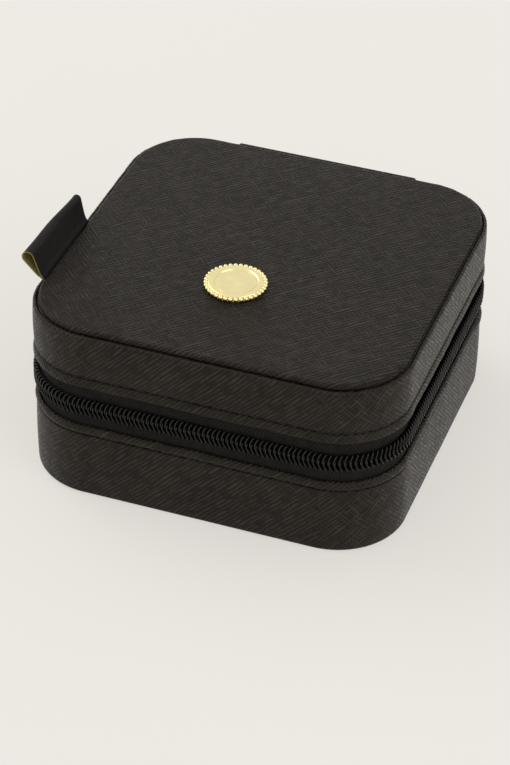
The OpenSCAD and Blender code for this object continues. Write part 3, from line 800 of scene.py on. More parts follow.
def grown(name, line, tree, values):
    """Runs a tree on a line of points and returns its result as a plain mesh."""
    mesh = bpy.data.meshes.new(name)
    mesh.from_pydata([tuple(p) for p in line], [(i, i + 1) for i in range(len(line) - 1)], [])
    source = new_object(name + "_line", mesh)
    modifier = source.modifiers.new("Nodes", "NODES")
    modifier.node_group = tree
    for item in tree.interface.items_tree:
        if item.in_out == "INPUT" and item.name in values:
            modifier[item.identifier] = values[item.name]
    result = applied(source).data
    bpy.data.objects.remove(source)
    result.name = name
    return new_object(name, result)


# ---- What a user would change ----------------------------------------------------------------

def a_number(name, description, default, **settings):
    return FloatProperty(name=name, description=description, default=default, **settings)


def a_length(name, description, default):
    return a_number(name, description, default, unit="LENGTH")


def an_angle(name, description, degrees):
    return a_number(name, description, math.radians(degrees), subtype="ANGLE")


def a_share(name, description, default):
    return a_number(name, description, default, subtype="FACTOR", min=0, max=1)


def a_colour(name, description, default):
    return FloatVectorProperty(name=name, description=description, subtype="COLOR", size=3, min=0,
                               max=1, default=default)


class CaseLeather(bpy.types.PropertyGroup):
    """Leatherette and its stitching"""
    colour: a_colour("Colour", "Colour of the leatherette", (0.0112, 0.0096, 0.0078))
    gloss: a_share("Gloss", "Strength of its reflections", 0.14)
    top_share: a_share("Top gloss", "The padded top's share of that gloss", 0.72)
    gloss_colour: a_colour("Gloss colour", "Colour of its reflections", (1.0, 0.885, 0.77))
    roughness: a_share("Roughness", "How dull its surface is", 0.34)
    valley: a_number("Valley", "Tone between the pressed ridges", 0.45)
    # the ridges' tone is a painted highlight, not the leather's own colour
    ridge_highlight: a_number("Ridge", "Tone of the pressed ridges", 3.8)
    grain_pitch: a_length("Grain pitch", "Distance between pressed ridges", 1 * MM)
    grain_depth: a_length("Grain depth", "Depth of the pressed ridges", 0.3 * MM)
    bulge: a_length("Bulge", "How far the bands swell between their seams", 0.25 * MM)
    hem_bulge: a_length("Hem bulge", "How far the hems swell", 0.42 * MM)
    lid_hem: a_length("Lid hem", "Height of the lid's stitches over its edge", 3.0 * MM)
    base_hem: a_length("Base hem", "Depth of the base's stitches below its edge", 2.6 * MM)
    stitch_pitch: a_length("Stitch pitch", "Distance from stitch to stitch", 3.4 * MM)
    stitch_length: a_length("Stitch length", "Length of one stitch", 2.7 * MM)
    thread_d: a_length("Thread", "Diameter of the thread", 0.42 * MM)


class CaseZip(bpy.types.PropertyGroup):
    """Coil zip"""
    pitch: a_length("Coil pitch", "Distance from loop to loop", 1.25 * MM)
    wire: a_length("Wire", "Diameter of the coil's nylon", 0.42 * MM)


class CaseBadge(bpy.types.PropertyGroup):
    """Badge and fittings"""
    colour: a_colour("Colour", "Colour of the metal", (0.88, 0.775, 0.42))
    roughness: a_share("Roughness", "How dull the metal is", 0.2)
    beads: IntProperty(name="Beads", description="Number of beads in the rim", default=36)
    bead_d: a_length("Bead", "Diameter of one bead", 1.32 * MM)


class CaseLabel(bpy.types.PropertyGroup):
    """Ribbon label in the left seam"""
    near_lean: an_angle("Near lean", "Lean of the loop at its near end", 32.2)
    far_lean: an_angle("Far lean", "Lean of the loop at its far end", 22)
    near_length: a_length("Near length", "Length from the seam to the near fold", 9.2 * MM)
    far_length: a_length("Far length", "Length from the seam to the far fold", 8.7 * MM)


class CaseLining(bpy.types.PropertyGroup):
    """Velvet lining"""
    colour: a_colour("Colour", "Colour of the velvet", (0.115, 0.098, 0.085))
    sheen_colour: a_colour("Sheen", "Colour of the velvet's sheen", (0.6, 0.55, 0.5))


class CaseStage(bpy.types.PropertyGroup):
    """Floor, light and camera"""
    floor_colour: a_colour("Floor", "Colour of the floor", (0.875, 0.845, 0.8))
    floor_shine: a_share("Floor shine", "Share of the floor's white that no shadow takes", 0.6)
    sky: a_number("Sky", "Strength of the even light", 0.7)
    key: a_number("Key", "Power of the soft key lamp", 12, unit="POWER")
    camera_at: FloatVectorProperty(name="Camera", description="Place of the camera", unit="LENGTH",
                                   size=3, default=(0.187898, -0.544375, 0.436058))
    camera_yaw: an_angle("Yaw", "Turn of the camera from the +Y direction", -19.243)
    camera_pitch: an_angle("Pitch", "How far the camera looks down", 36.546)
    camera_roll: an_angle("Roll", "Roll of the camera", 1.002)
    lens: a_number("Lens", "Focal length in millimetres", 125.895)


# ---- Operators -------------------------------------------------------------------------------

class Dresser:
    """What the operators share."""
    bl_options = {"REGISTER", "UNDO"}

    def execute(self, context):
        self.dress(context.scene)
        return {"FINISHED"}


def seen_directly(g):
    """1 for rays with which a camera, metal or glass sees the backdrop, and 0 for light's own."""
    ray = g.tree.nodes.new("ShaderNodeLightPath").outputs
    return g.math("MAXIMUM", ray["Is Camera Ray"],
                  g.math("MAXIMUM", ray["Is Glossy Ray"], ray["Is Transmission Ray"]))


class CASE_OT_stage(Dresser, bpy.types.Operator):
    """Sets up the floor, the soft light and the camera"""
    bl_idname = "case.stage"
    bl_label = "Stage"

    def dress(self, scene):
        look = scene.case_stage
        self.floor(look)
        self.lights(scene, look)
        self.camera(scene, look)

    def floor(self, look):
        reach = 4.0
        corners = [(-reach, -reach, 0), (reach, -reach, 0), (reach, reach, 0), (-reach, reach, 0)]
        made = new_object("floor", bpy.data.meshes.new("floor"))
        made.data.from_pydata(corners, [], [(0, 1, 2, 3)])
        material, g, shader = new_material("floor", {"Specular IOR Level": 0.1})
        paper = g.group(nap(), {"Vector": place_on(g), "Patch": 0.2, "Hair": 0.6 * MM})["Tone"]
        light = tuple(look.floor_colour)
        colour = g.colour(g.spread(paper, 0.3, 0.7), times(0.985, light), light)
        # what is seen of the floor shines a little, which lightens the shadow and nothing else
        shine = g.math("MULTIPLY", seen_directly(g), look.floor_shine)
        g.fill(shader, {"Base Color": g.scaled(colour, g.math("SUBTRACT", 1.0, shine)),
                        "Emission Color": colour, "Emission Strength": shine,
                        "Roughness": g.spread(paper, 0.3, 0.7, 0.95, 0.85)})
        made.data.materials.append(material)

    def lights(self, scene, look):
        world = bpy.data.worlds.new("studio")
        scene.world = world
        world.use_nodes = True
        g = Graph(world.node_tree)
        backdrop = 0.95
        g.fill(world.node_tree.nodes["Background"], {
            "Color": (1.0, 0.985, 0.965, 1),
            "Strength": g.blend(seen_directly(g), look.sky, backdrop)})
        for name, place, size, power in (("key", (-1.5, 0.5, 1.4), 1.8, 1.0),
                                         ("side", (1.3, -0.5, 0.9), 1.4, 0.5)):
            lamp = bpy.data.lights.new(name, "AREA")
            lamp.shape = "DISK"
            lamp.size = size
            lamp.energy = look.key * power
            lamp.color = (1.0, 0.985, 0.96)
            holder = new_object(name, lamp)
            holder.location = place
            holder.rotation_euler = (-Vector(place)).to_track_quat("-Z", "Y").to_euler()

    def camera(self, scene, look):
        yaw, pitch, roll = look.camera_yaw, look.camera_pitch, look.camera_roll
        ahead = Vector((math.sin(yaw) * math.cos(pitch), math.cos(yaw) * math.cos(pitch),
                        -math.sin(pitch)))
        level = Vector((math.cos(yaw), -math.sin(yaw), 0))
        raised = level.cross(ahead)
        right = math.cos(roll) * level + math.sin(roll) * raised
        up = math.cos(roll) * raised - math.sin(roll) * level
        data = bpy.data.cameras.new("camera")
        data.sensor_width = 36
        data.lens = look.lens
        data.clip_start = 0.01
        holder = new_object("camera", data)
        turn = Matrix((right, up, -ahead)).transposed()
        holder.matrix_world = Matrix.Translation(Vector(look.camera_at)) @ turn.to_4x4()
        scene.camera = holder
        scene.view_settings.view_transform = "Standard"


def band_heights(low, high, seam, ends):
    """Heights at which a band is cut: close together at its rolled ends and its stitched seam."""
    rolls = [radius * (1 - np.cos(np.linspace(0, math.pi / 2, 8))) for radius in ends]
    near_seam = seam + np.linspace(-0.9, 0.9, 15) * MM
    between = np.concatenate([np.linspace(low + ends[0], near_seam[0], 7)[1:-1],
                              np.linspace(near_seam[-1], high - ends[1], 13)[1:-1]])
    return np.sort(np.concatenate([low + rolls[0], near_seam, between, high - rolls[1]]))


class CASE_OT_bands(Dresser, bpy.types.Operator):
    """Makes the two leatherette bands with their hems"""
    bl_idname = "case.bands"
    bl_label = "Leatherette bands"

    def dress(self, scene):
        look = scene.case_leather
        for body, low, high, seam, ends, seed in (
                ("base", 0, BASE_RIM, BASE_RIM - look.base_hem, (0.9 * MM, 0.5 * MM), 11),
                ("lid", LID_EDGE, SEAM, LID_EDGE + look.lid_hem, (0.5 * MM, 0.6 * MM), 23)):
            made = self.band(body + "_leather", low, high, seam, ends, look, seed)
            finished(made, leatherette("band"), body, "leatherette", body + "_band", sharp=0)

    def band(self, name, low, high, seam, ends, look, seed):
        """A band with a hem stitched along one edge, swelling a little between its seams."""
        z = band_heights(low, high, seam, ends)
        free_edge, other = (low, high) if seam - low < high - seam else (high, low)
        in_hem = np.clip(np.abs(z - free_edge) / abs(seam - free_edge), 0, 1)
        on_panel = np.clip((z - seam) / (other - seam), 0, 1)
        # the lid's hem hangs out over the zip, so it is fullest near its free edge
        skew = 0.55 if free_edge == low else 1
        full = np.where(on_panel > 0, np.sin(math.pi * on_panel) ** 0.6,
                        look.hem_bulge / look.bulge * np.sin(math.pi * in_hem ** skew) ** 0.8)
        u = all_round(0.5 * MM)
        edge_near = fading(np.abs(z - free_edge), 2.5)
        other_near = fading(np.abs(z - other), 0.8) * (other > seam)
        uneven = 0.12 * MM * waves(u, (5, 9, 14, 23), seed)[:, None]
        pucker = 0.07 * MM * waves(u, (41, 57, 73), seed + 1)[:, None]
        crinkle = 0.06 * MM * waves(u, (211, 233, 260, 173), seed + 4)[:, None]
        stitches = round(OUTLINE_LENGTH / look.stitch_pitch)
        pulled_in = 0.76 * MM - 0.1 * MM * np.cos(2 * math.pi * u * stitches / OUTLINE_LENGTH)
        out = (look.bulge * full + uneven * full + pucker * (edge_near + 0.8 * other_near)
               + crinkle * other_near - pulled_in[:, None] * dented(z - seam, 0.27)
               - rounded_end(z - low, ends[0]) - rounded_end(high - z, ends[1]))
        height = (z + 0.12 * MM * waves(u, (7, 17, 31), seed + 2)[:, None] * edge_near
                  + 0.1 * MM * waves(u, (19, 43, 83, 140), seed + 3)[:, None] * other_near)
        lip = 0.35 * MM
        inner = [(-BAND_T + lip, high), (-BAND_T, high - 2 * lip), (-BAND_T, low + 2 * lip),
                 (-BAND_T + lip, low)]
        inner = np.broadcast_to(inner, (len(u), 4, 2))
        return swept_surface(name, u, np.concatenate([placed(out, height), inner], 1))


class CASE_OT_top(Dresser, bpy.types.Operator):
    """Makes the padded top and the foam under it"""
    bl_idname = "case.top"
    bl_label = "Padded top"

    def dress(self, scene):
        skin = self.cushion("top_leather", PANEL_INSET, WELT_Z, TOP_Z, True)
        finished(skin, leatherette("sheet"), "lid", "leatherette", "lid_top_panel", sharp=0)
        skin_t = 1 * MM
        pad = self.cushion("top_foam", PANEL_INSET + 1.1 * skin_t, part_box("lid_foam")[0].z,
                           TOP_Z - skin_t, False)
        finished(pad, foam(), "lid", "foam", "lid_foam", sharp=0)

    def cushion(self, name, inset, low, high, puckered):
        """A crowned pad with rolled edges: an underside, a round side, and rings to its middle."""
        roll, crown, tuck = 1 * MM, 0.2 * MM, 0.25 * MM
        ripple_out, ripple_up, sag, dimple = 0.1 * MM, 0.09 * MM, 0.1 * MM, 0.06 * MM
        shoulder = high - crown
        flat = CORNER_R - inset - roll
        u = all_round(0.8 * MM)
        side = np.vstack([[-inset - tuck, low],
                          arc((-inset - roll, shoulder - roll), roll, 0, 1, 9)])
        rim = swept(u, side)
        # a pucker runs over the rolled edge and dies out on the top
        ripple = waves(u, (37, 53, 71, 90), 5)[:, None] if puckered else np.zeros((len(u), 1))
        up_side = np.sin(math.pi * np.linspace(0, 1, len(side)))[None, :]
        points, out = outline(u)
        rim[..., :2] += out[:, None, :] * (ripple_out * ripple * up_side)[..., None]
        edge = points - (inset + roll) * out
        disc = edge[:, None, :] * np.linspace(1, 0.02, 46)[None, 1:, None]
        deep = depth_inside(disc[..., 0], disc[..., 1], flat)
        z = shoulder + crown * (1 - np.clip(1 - deep / flat, 0, 1) ** 2)
        if puckered:
            z = z + ripple_up * ripple * fading(deep, 3.5) * (1 - fading(deep, 0.8))
            slow = (np.sin(disc[..., 0] / (17 * MM) + 1.3)
                    * np.sin(disc[..., 1] / (21 * MM) + 0.4) - 0.6)
            z = z + sag * slow * (1 - fading(deep, 6))
        grid = np.concatenate([rim, np.concatenate([disc, z[..., None]], 2)], 1)
        made = surface(name, grid, self.flattened(u, grid, side), (True, False))
        columns = grid.shape[1]
        count = len(u) * columns
        top = high - dimple if puckered else high
        close_pole(made, range(columns - 1, count, columns), (0, 0, top))
        close_pole(made, range(0, count, columns), (0, 0, low), flip=True)
        return made

    def flattened(self, u, grid, side):
        """The pad's cloth laid flat: its top as it lies, its rolled edge unrolled outwards."""
        run = lengths_of(side)
        points, out = outline(np.append(u, OUTLINE_LENGTH))
        rim_out = side[-1][0] + (run[-1] - run)
        rim = points[:, None, :] + rim_out[None, :, None] * out[:, None, :]
        disc = np.concatenate([grid[:, len(side):, :2], grid[:1, len(side):, :2]], 0)
        return np.concatenate([rim, disc], 1)


class CASE_OT_tapes(Dresser, bpy.types.Operator):
    """Makes the zip's woven tapes and the ends that return behind the hinge"""
    bl_idname = "case.tapes"
    bl_label = "Zip tapes"

    def dress(self, scene):
        start, end = zip_start(), zip_end()
        for body, node in (("base", "lower_tape"), ("lid", "upper_tape")):
            made = self.tape(body + "_tape", node, start, end, 4)
            finished(made, tape_cloth(), body, "zip_tape", node)
        gap = 0.05 * MM
        bending(self.tape("tape_return_a", "tape_return_left", gap, start, 40), tape_cloth(),
                "zip_tape", "tape_return_left")
        bending(self.tape("tape_return_b", "tape_return_right", end, OUTLINE_LENGTH - gap, 40),
                tape_cloth(), "zip_tape", "tape_return_right")

    def tape(self, name, node, first, last, rows):
        """A stretch of tape as high as its solid, cut into rows so that it can bend."""
        low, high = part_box(node)
        up = np.linspace(low.z, high.z, rows + 1)
        section = ([(-BAND_T, z) for z in up] + [(-BAND_T - TAPE_T, z) for z in up[::-1]])
        u = np.linspace(first, last, int((last - first) / (0.8 * MM)))
        return swept_surface(name, u, section, closed_round=False)


class CASE_OT_coils(Dresser, bpy.types.Operator):
    """Makes the two meshed coils of the zip"""
    bl_idname = "case.coils"
    bl_label = "Zip coils"

    def dress(self, scene):
        look = scene.case_zip
        for body, node, up, shift in (("base", "lower_coil", 1, 0.25),
                                      ("lid", "upper_coil", -1, 0.75)):
            low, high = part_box(node)
            loop = self.loop(look, high.z - low.z, up)
            root = low.z if up > 0 else high.z
            start = coil_start() + shift * look.pitch
            # the stretch that the slider passes opens behind it, so it is a piece of its own
            passed = start + SLIDER_RUN
            for name, first, last in (
                    (body + "_coil_start", start, passed - 0.5 * look.pitch),
                    (body + "_coil", passed, zip_end())):
                u = np.arange(first, last, 0.25 * MM)
                line = swept(u, [(-BAND_T, root)])[:, 0]
                made = grown(name, line, row_tree(), {
                    "Shape": loop, "Pitch": look.pitch, "Join Distance": 0.09 * MM,
                    "Material": nylon()})
                close_holes(made)
                finished(made, nylon(), body, "zip_coil", node, sharp=0)
                cord = self.core(name + "_cord", u, root, up)
                finished(cord, dull_cord(), body, "zip_coil")
                if last < passed:
                    for piece in (made, cord):
                        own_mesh(piece)
            bpy.data.objects.remove(loop)

    def core(self, name, u, root, up):
        """The cord inside the coil, near its roots."""
        half_wide, half_tall = 0.3 * MM, 0.6 * MM
        middle = (-BAND_T + COIL_DEPTH / 2 - 0.1 * MM, root + up * 1.1 * MM)
        section = middle + circle(10) * (half_wide, half_tall)
        return swept_surface(name, u, section, closed_round=False)

    def loop(self, look, tall, up):
        """One turn of the coil: up by the tape, over its head and down its slanting outer leg."""
        r = look.wire / 2
        bend = (COIL_DEPTH - 2 * r) / 2
        middle, outer = r + bend, COIL_DEPTH - r
        straight = tall - 2 * middle
        # the lower coil's legs slant towards their roots, which lie out of sight below them
        back, leaning = -0.5, -0.44
        near_root = -0.12 if up > 0 else -0.34
        first, last = near_root + 0.12, 0.5
        head = arc((middle, middle + straight), bend, 2, 0, 6)
        root = arc((middle, middle), bend, 0, -2, 7)
        path = [(back, r, middle), *((back, y, z) for y, z in head),
                (leaning, outer, middle + 0.6 * straight),
                (near_root, outer, middle + 0.2 * straight)]
        path += [(first + (last - first) * (i / (len(root) - 1)) ** 1.1, y, z)
                 for i, (y, z) in enumerate(root)]
        centres = np.array([(x * look.pitch, -y, up * z) for x, y, z in path])
        thickness = np.full(len(path), r)
        pressed = np.sin(np.linspace(0, math.pi, len(head)))
        thickness[1:1 + len(head)] *= 1 + 0.4 * pressed  # the head is pressed wider
        return tube("loop", centres, thickness, 6, capped=False)


class CASE_OT_stitches(Dresser, bpy.types.Operator):
    """Sews the rows of stitches along both hems"""
    bl_idname = "case.stitches"
    bl_label = "Stitches"

    def dress(self, scene):
        look = scene.case_leather
        stitch = one_stitch(look.stitch_length, look.thread_d, 0.2 * MM)
        dark = thread(DARK_THREAD)
        u = np.append(all_round(0.5 * MM), OUTLINE_LENGTH)
        pitch = OUTLINE_LENGTH / round(OUTLINE_LENGTH / look.stitch_pitch)
        # a pitch just under an even share, so that rounding can't drop the last stitch
        sunk, snug = 0.42 * MM, 0.9995
        for body, height in (("base", BASE_RIM - look.base_hem), ("lid", LID_EDGE + look.lid_hem)):
            made = grown(body + "_stitches", swept(u, [(-sunk, height)])[:, 0], row_tree(), {
                "Shape": stitch, "Pitch": snug * pitch, "Material": dark})
            finished(made, dark, body, "leatherette")
        bpy.data.objects.remove(stitch)


class CASE_OT_hinge(Dresser, bpy.types.Operator):
    """Makes the leatherette strip across the back, its stitches and the lining behind it"""
    bl_idname = "case.hinge"
    bl_label = "Hinge"

    def dress(self, scene):
        bending(self.strip(), leatherette("sheet"), "leatherette", "hinge_strip")
        self.sew(scene.case_leather)
        bending(self.lining(), velvet(), "velvet", "hinge_lining")

    def lining(self):
        """A velvet sheet with soft upright folds on its front."""
        low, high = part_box("hinge_lining")
        count = 41
        rows = np.linspace(low.z, high.z, count)
        columns = np.linspace(high.x, low.x, count)
        soft = low.y + 0.1 * MM + 0.12 * MM * np.sin(np.linspace(0, 9 * math.pi, count))
        front = np.array([[(x, y, z) for z in rows[::-1]] for x, y in zip(columns, soft)])
        back = np.array([[(x, high.y, z) for z in rows] for x in columns])
        return surface("hinge_velvet", np.concatenate([back, front], 1), closed=(False, True),
                       capped=True)

    def strip(self):
        """A strip with rounded lower corners, cut fine enough to bend, turned over the band."""
        low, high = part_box("hinge_strip")
        corner, top_roll, edge_roll, bend = 3 * MM, 0.6 * MM, 0.7 * MM, 6 * MM
        seam_in, seam_depth, thinnest = 2.2 * MM, 0.2 * MM, 0.05 * MM
        thick, top = high.y - HALF_D, SEAM + 0.3 * MM
        z = np.unique(np.round(np.concatenate([
            low.z + corner * (1 - np.cos(np.linspace(0, math.pi / 2, 12))),
            np.linspace(low.z + corner, CHAIN_Z - bend, 12),
            np.linspace(CHAIN_Z - bend, CHAIN_Z + bend, 33),
            np.linspace(CHAIN_Z + bend, top - top_roll, 14)]), 7))
        fall = np.clip(corner - (z - low.z), 0, corner)
        half = high.x - corner + np.sqrt(np.maximum(corner ** 2 - fall ** 2, 0))
        half = np.maximum(half, high.x - corner + 0.3 * MM)
        shares = -np.sin(np.linspace(-math.pi / 2, math.pi / 2, 61))
        outer, inner = [], []

        def add(x, y, z, inner_y, inner_z):
            outer.append(placed(x, y, z))
            inner.append(placed(x, inner_y, inner_z))

        for height, reach in zip(z, half):
            x = shares * reach
            edge = np.minimum(reach - np.abs(x), height - low.z + 0.2 * MM)
            fallen = rounded_end(edge, edge_roll) + seam_depth * dented(edge - seam_in, 0.4)
            add(x, HALF_D + np.maximum(thick - fallen, thinnest), height, HALF_D, height)
        # over the top, the strip thins towards the seam
        x = shares * half[-1]
        sides = 1 - rounded_end(half[-1] - np.abs(x), edge_roll) / edge_roll
        for over, up in arc((0, 0), top_roll, 0, 1, 7)[1:]:
            add(x, HALF_D + (thick - top_roll + over) * sides, top - top_roll + up * sides, HALF_D,
                min(top - top_roll, SEAM))
        for inwards in (0.35, 0.7):
            drop = 0.5 * MM * (1 - sides) + 0.12 * MM * (inwards / 0.7) ** 2
            y = HALF_D - inwards * MM
            add(x, y, top - drop, y, SEAM - 0.3 * MM)
        outer, inner = (np.array(side).transpose(1, 0, 2) for side in (outer, inner))
        run = lengths_of(outer[len(x) // 2])
        flat = placed(outer[..., 0], run[None, :])
        uv = np.concatenate([flat, flat[:, ::-1], flat[:, :1]], 1)
        return surface("hinge_leather", np.concatenate([outer, inner[:, ::-1]], 1), uv,
                       (False, True), capped=True)

    def sew(self, look):
        """Two upright rows of stitches on the strip, one part for each body."""
        low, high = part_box("hinge_strip")
        pitch = look.stitch_pitch
        seam_in, sunk, dive = 2.2 * MM, 0.12 * MM, 0.2 * MM
        along, depth, radius = stitch_profile(7, look.thread_d, dive)
        for body, first, last in (("base", low.z + 3 * MM, BASE_RIM - 1 * MM),
                                  ("lid", LID_EDGE + 1 * MM, high.z - 2 * MM)):
            parts = []
            for side in (-1, 1):
                for k in range(int((last - first) / pitch)):
                    z = first + (k + 0.5) * pitch + along * look.stitch_length
                    centres = placed(side * (high.x - seam_in), high.y - sunk - depth, z)
                    parts.append(tube("stitch", centres, radius, 8))
            finished(joined(body + "_hinge_stitches", parts), thread(DARK_THREAD), body,
                     "leatherette")


class CASE_OT_badge(Dresser, bpy.types.Operator):
    """Makes the round badge with its beaded rim"""
    bl_idname = "case.badge"
    bl_label = "Badge"

    def dress(self, scene):
        look = scene.case_badge
        low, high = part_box("badge_disc")
        centre = ((low.x + high.x) / 2, (low.y + high.y) / 2, TOP_Z)
        ring_r = (high.y - low.y) / 2 - look.bead_d / 2
        disc = revolved("badge_disc_part", self.profile(ring_r), centre)
        beads = grown("badge_beads", [(0, 0, 0)], bead_tree(), {
            "Count": look.beads, "Ring Radius": ring_r, "Bead Radius": look.bead_d / 2,
            "Material": pale_gold()})
        beads.data.transform(Matrix.Translation((centre[0], centre[1], TOP_Z + look.bead_d / 2)))
        made = joined("badge", [disc, beads, *self.prongs(centre, low.z)])
        finished(made, pale_gold(), "lid", "pale_gold", "badge_disc", sharp=50)
        softened("badge_washer", "washer", 0.08 * MM, pale_gold(), "lid", "pale_gold", 2)

    def profile(self, ring_r):
        """Half of the disc's section: a foot under the beads, a raised ring and a sunk floor."""
        edge, shoulder = 0.35 * MM, ring_r - 0.42 * MM
        ring_top, floor, dome = 1.24 * MM, 0.88 * MM, 0.07 * MM
        recess_r, slope, groove = 5.45 * MM, 0.6 * MM, 0.1 * MM
        return [(0, 0), (ring_r + 0.2 * MM, 0), (ring_r + 0.25 * MM, 0.25 * MM),
                (shoulder, 0.5 * MM), *arc((shoulder - edge, ring_top - edge), edge, 0, 1, 8),
                (recess_r + slope, ring_top), (recess_r + 0.7 * slope, ring_top - 0.05 * MM),
                (recess_r + 0.2 * slope, floor + 0.06 * MM),
                (recess_r + 0.04 * MM, floor - groove), (recess_r - groove, floor - groove),
                (recess_r - 1.6 * groove, floor), (recess_r / 2, floor + 0.05 * MM),
                (0, floor + dome)]

    def prongs(self, centre, low):
        """The two prongs under the badge, bent outwards below the washer."""
        apart, wide, thick, bent = 3 * MM, 1.6 * MM, 0.4 * MM, 2 * MM
        made = []
        for side in (-1, 1):
            x = centre[0] + side * apart
            for (left, right), (below, above) in (
                    ((x - thick / 2, x + thick / 2), (low, TOP_Z + 0.1 * MM)),
                    (sorted((x, x + side * bent)), (low, low + thick))):
                size = (right - left, wide, above - below)
                middle = ((left + right) / 2, centre[1], (below + above) / 2)
                mesh = bpy.data.meshes.new("prong")
                with editing(mesh) as bm:
                    bmesh.ops.create_cube(bm, size=1, matrix=Matrix.LocRotScale(middle, None, size))
                made.append(new_object("prong", mesh))
        return made


class CASE_OT_label(Dresser, bpy.types.Operator):
    """Makes the folded ribbon label in the left seam"""
    bl_idname = "case.label"
    bl_label = "Ribbon label"

    def dress(self, scene):
        look = scene.case_label
        low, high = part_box("label_loop")
        ribbon_t, sewn_over, sway = 0.28 * MM, 0.55 * MM, 0.5 * MM
        root = np.array((-HALF_W + BAND_T + (PANEL_INSET - BAND_T) / 2, WELT_Z + 0.45 * MM))
        rows = []
        for t in np.linspace(0, 1, 71):
            lean = look.far_lean + (look.near_lean - look.far_lean) * t
            length = look.far_length + (look.near_length - look.far_length) * t
            swayed = sway * math.sin(7.5 * t + 0.9) * (1 - 0.75 * t)
            section = self.drop(length, (1.15 + 0.55 * t) * MM + 0.15 * swayed, ribbon_t)
            up = section[:, 1]
            section[:, 0] += swayed * (up / length) ** 2 - sewn_over * (1 - dented(up, 1.3))
            turn = np.array([[math.cos(lean), math.sin(lean)], [-math.sin(lean), math.cos(lean)]])
            x, z = (root + section @ turn).T
            y = high.y + (low.y - high.y) * t
            rows.append(placed(x, y, z))
        points = np.array(rows)
        across = np.linspace(0, high.y - low.y, len(rows))
        uv = np.stack(np.meshgrid(across, lengths_of(points[-1]), indexing="ij"), -1)
        made = surface("label", points, uv)
        solid = made.modifiers.new("Thickness", "SOLIDIFY")
        solid.thickness = ribbon_t
        solid.offset = -1
        solid.material_offset = 1
        solid.material_offset_rim = 1
        made.data.materials.append(ribbon("ribbon", (0.0035, 0.0026, 0.0023),
                                          (0.0105, 0.0076, 0.0068), 0.6, 0.0))
        made.data.materials.append(ribbon("ribbon_inside", (0.19, 0.155, 0.03),
                                          (0.36, 0.3, 0.075), 0.5, 0.1))
        finished(applied(made), None, "lid", "ribbon", "label_loop", sharp=50)

    def drop(self, length, radius, gap):
        """A drop's outline from its root up one side, round its fold and down the other."""
        reach = length - radius
        narrow = math.asin(min(radius / reach, 0.9)) / (math.pi / 2)
        fold = arc((0, reach), radius, 2 + narrow, -narrow, 15)
        starts = np.array([(-gap / 2, 0), (gap / 2, 0)])
        shares = np.linspace(0, 1, 9)[:-1, None]
        up = starts[0] + (fold[0] - starts[0]) * shares
        down = starts[1] + (fold[-1] - starts[1]) * shares[::-1]
        return np.vstack([up, fold, down])


class CASE_OT_slider(Dresser, bpy.types.Operator):
    """Rounds the slider, its pull and the zip's stops"""
    bl_idname = "case.slider"
    bl_label = "Slider and stops"

    def dress(self, scene):
        softened("slider_body", "slider_metal", 0.22 * MM, pale_gold(), "slider", "pale_gold")
        softened("pull_tab", "pull_metal", 0.25 * MM, pale_gold(), "pull", "pale_gold")
        for body, node in (("base", "lower_zip_stop"), ("lid", "upper_zip_stop")):
            softened(node, body + "_zip_stop", 0.25 * MM, nylon(), body, "zip_coil")


class CASE_OT_boards(Dresser, bpy.types.Operator):
    """Finishes the boards, the underside and the turned seam"""
    bl_idname = "case.boards"
    bl_label = "Boards and underside"

    def dress(self, scene):
        for node, body in (("base_bottom_panel", "base"), ("lid_welt", "lid")):
            softened(node, node + "_leather", 0.12 * MM, leatherette(""), body, "leatherette", 2)
        for node, body in (("base_tub", "base"), ("lid_tub", "lid")):
            softened(node, node + "_board", 0.15 * MM, board(), body, "board", 2)


def velvet_shell(name, section, soft, counts, seed, body, node):
    """A lining swept round the case, uneven where it is soft, with its middle filled in flat."""
    u = all_round(0.9 * MM)
    rings = np.broadcast_to(section, (len(u), *section.shape)).copy()
    rings[..., 0] += waves(u, counts, seed)[:, None] * soft
    made = surface(name, swept(u, rings), closed=(True, False), capped=True)
    finished(made, velvet(), body, "velvet", node, sharp=50)


class CASE_OT_tray(Dresser, bpy.types.Operator):
    """Lines the tray with velvet and stands the dividers in it"""
    bl_idname = "case.tray"
    bl_label = "Tray"

    def dress(self, scene):
        self.lining()
        softened("roll_bed", "roll_bed_velvet", 0.4 * MM, velvet(), "base", "velvet")
        for seed, node in enumerate(("long_divider", "cross_divider_1", "cross_divider_2")):
            made = rounded_board(node + "_velvet", *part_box(node), 0.9 * MM, seed)
            finished(made, velvet(), "base", "velvet", node, sharp=0)

    def lining(self):
        """Its underside, its wall outside and in, a rolled lip, and a floor with a cove."""
        low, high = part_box("base_lining")
        bed_low, bed_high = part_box("roll_bed")
        shell, inner = high.x - HALF_W, bed_high.x - HALF_W
        floor, top = bed_low.z, high.z
        lip, half, cove, bevel = inner + LIP_T, LIP_T / 2, 1.1 * MM, 0.3 * MM
        under, middle = -14 * MM, -11 * MM
        over = arc(((lip + inner) / 2, top - half), half, 0, 2, 9)
        hollow = arc((inner - cove, floor + cove), cove, 0, -1, 6)
        wall = [(inner, z) for z in np.linspace(top - half, floor + cove, 9)[1:-1]]
        section = np.array([(under, low.z), (shell - bevel, low.z), (shell, low.z + bevel),
                            (shell, BASE_RIM), (lip, BASE_RIM), *over, *wall, *hollow,
                            (middle, floor), (under, floor)])
        out, height = section.T
        on_wall = (out < lip + 0.1 * MM) & (out > inner - 0.1 * MM)
        soft = 0.07 * MM * np.clip((height - floor) / (3 * MM), 0, 1) * on_wall
        velvet_shell("tray_velvet", section, soft, (19, 28, 41), 7, "base", "base_lining")


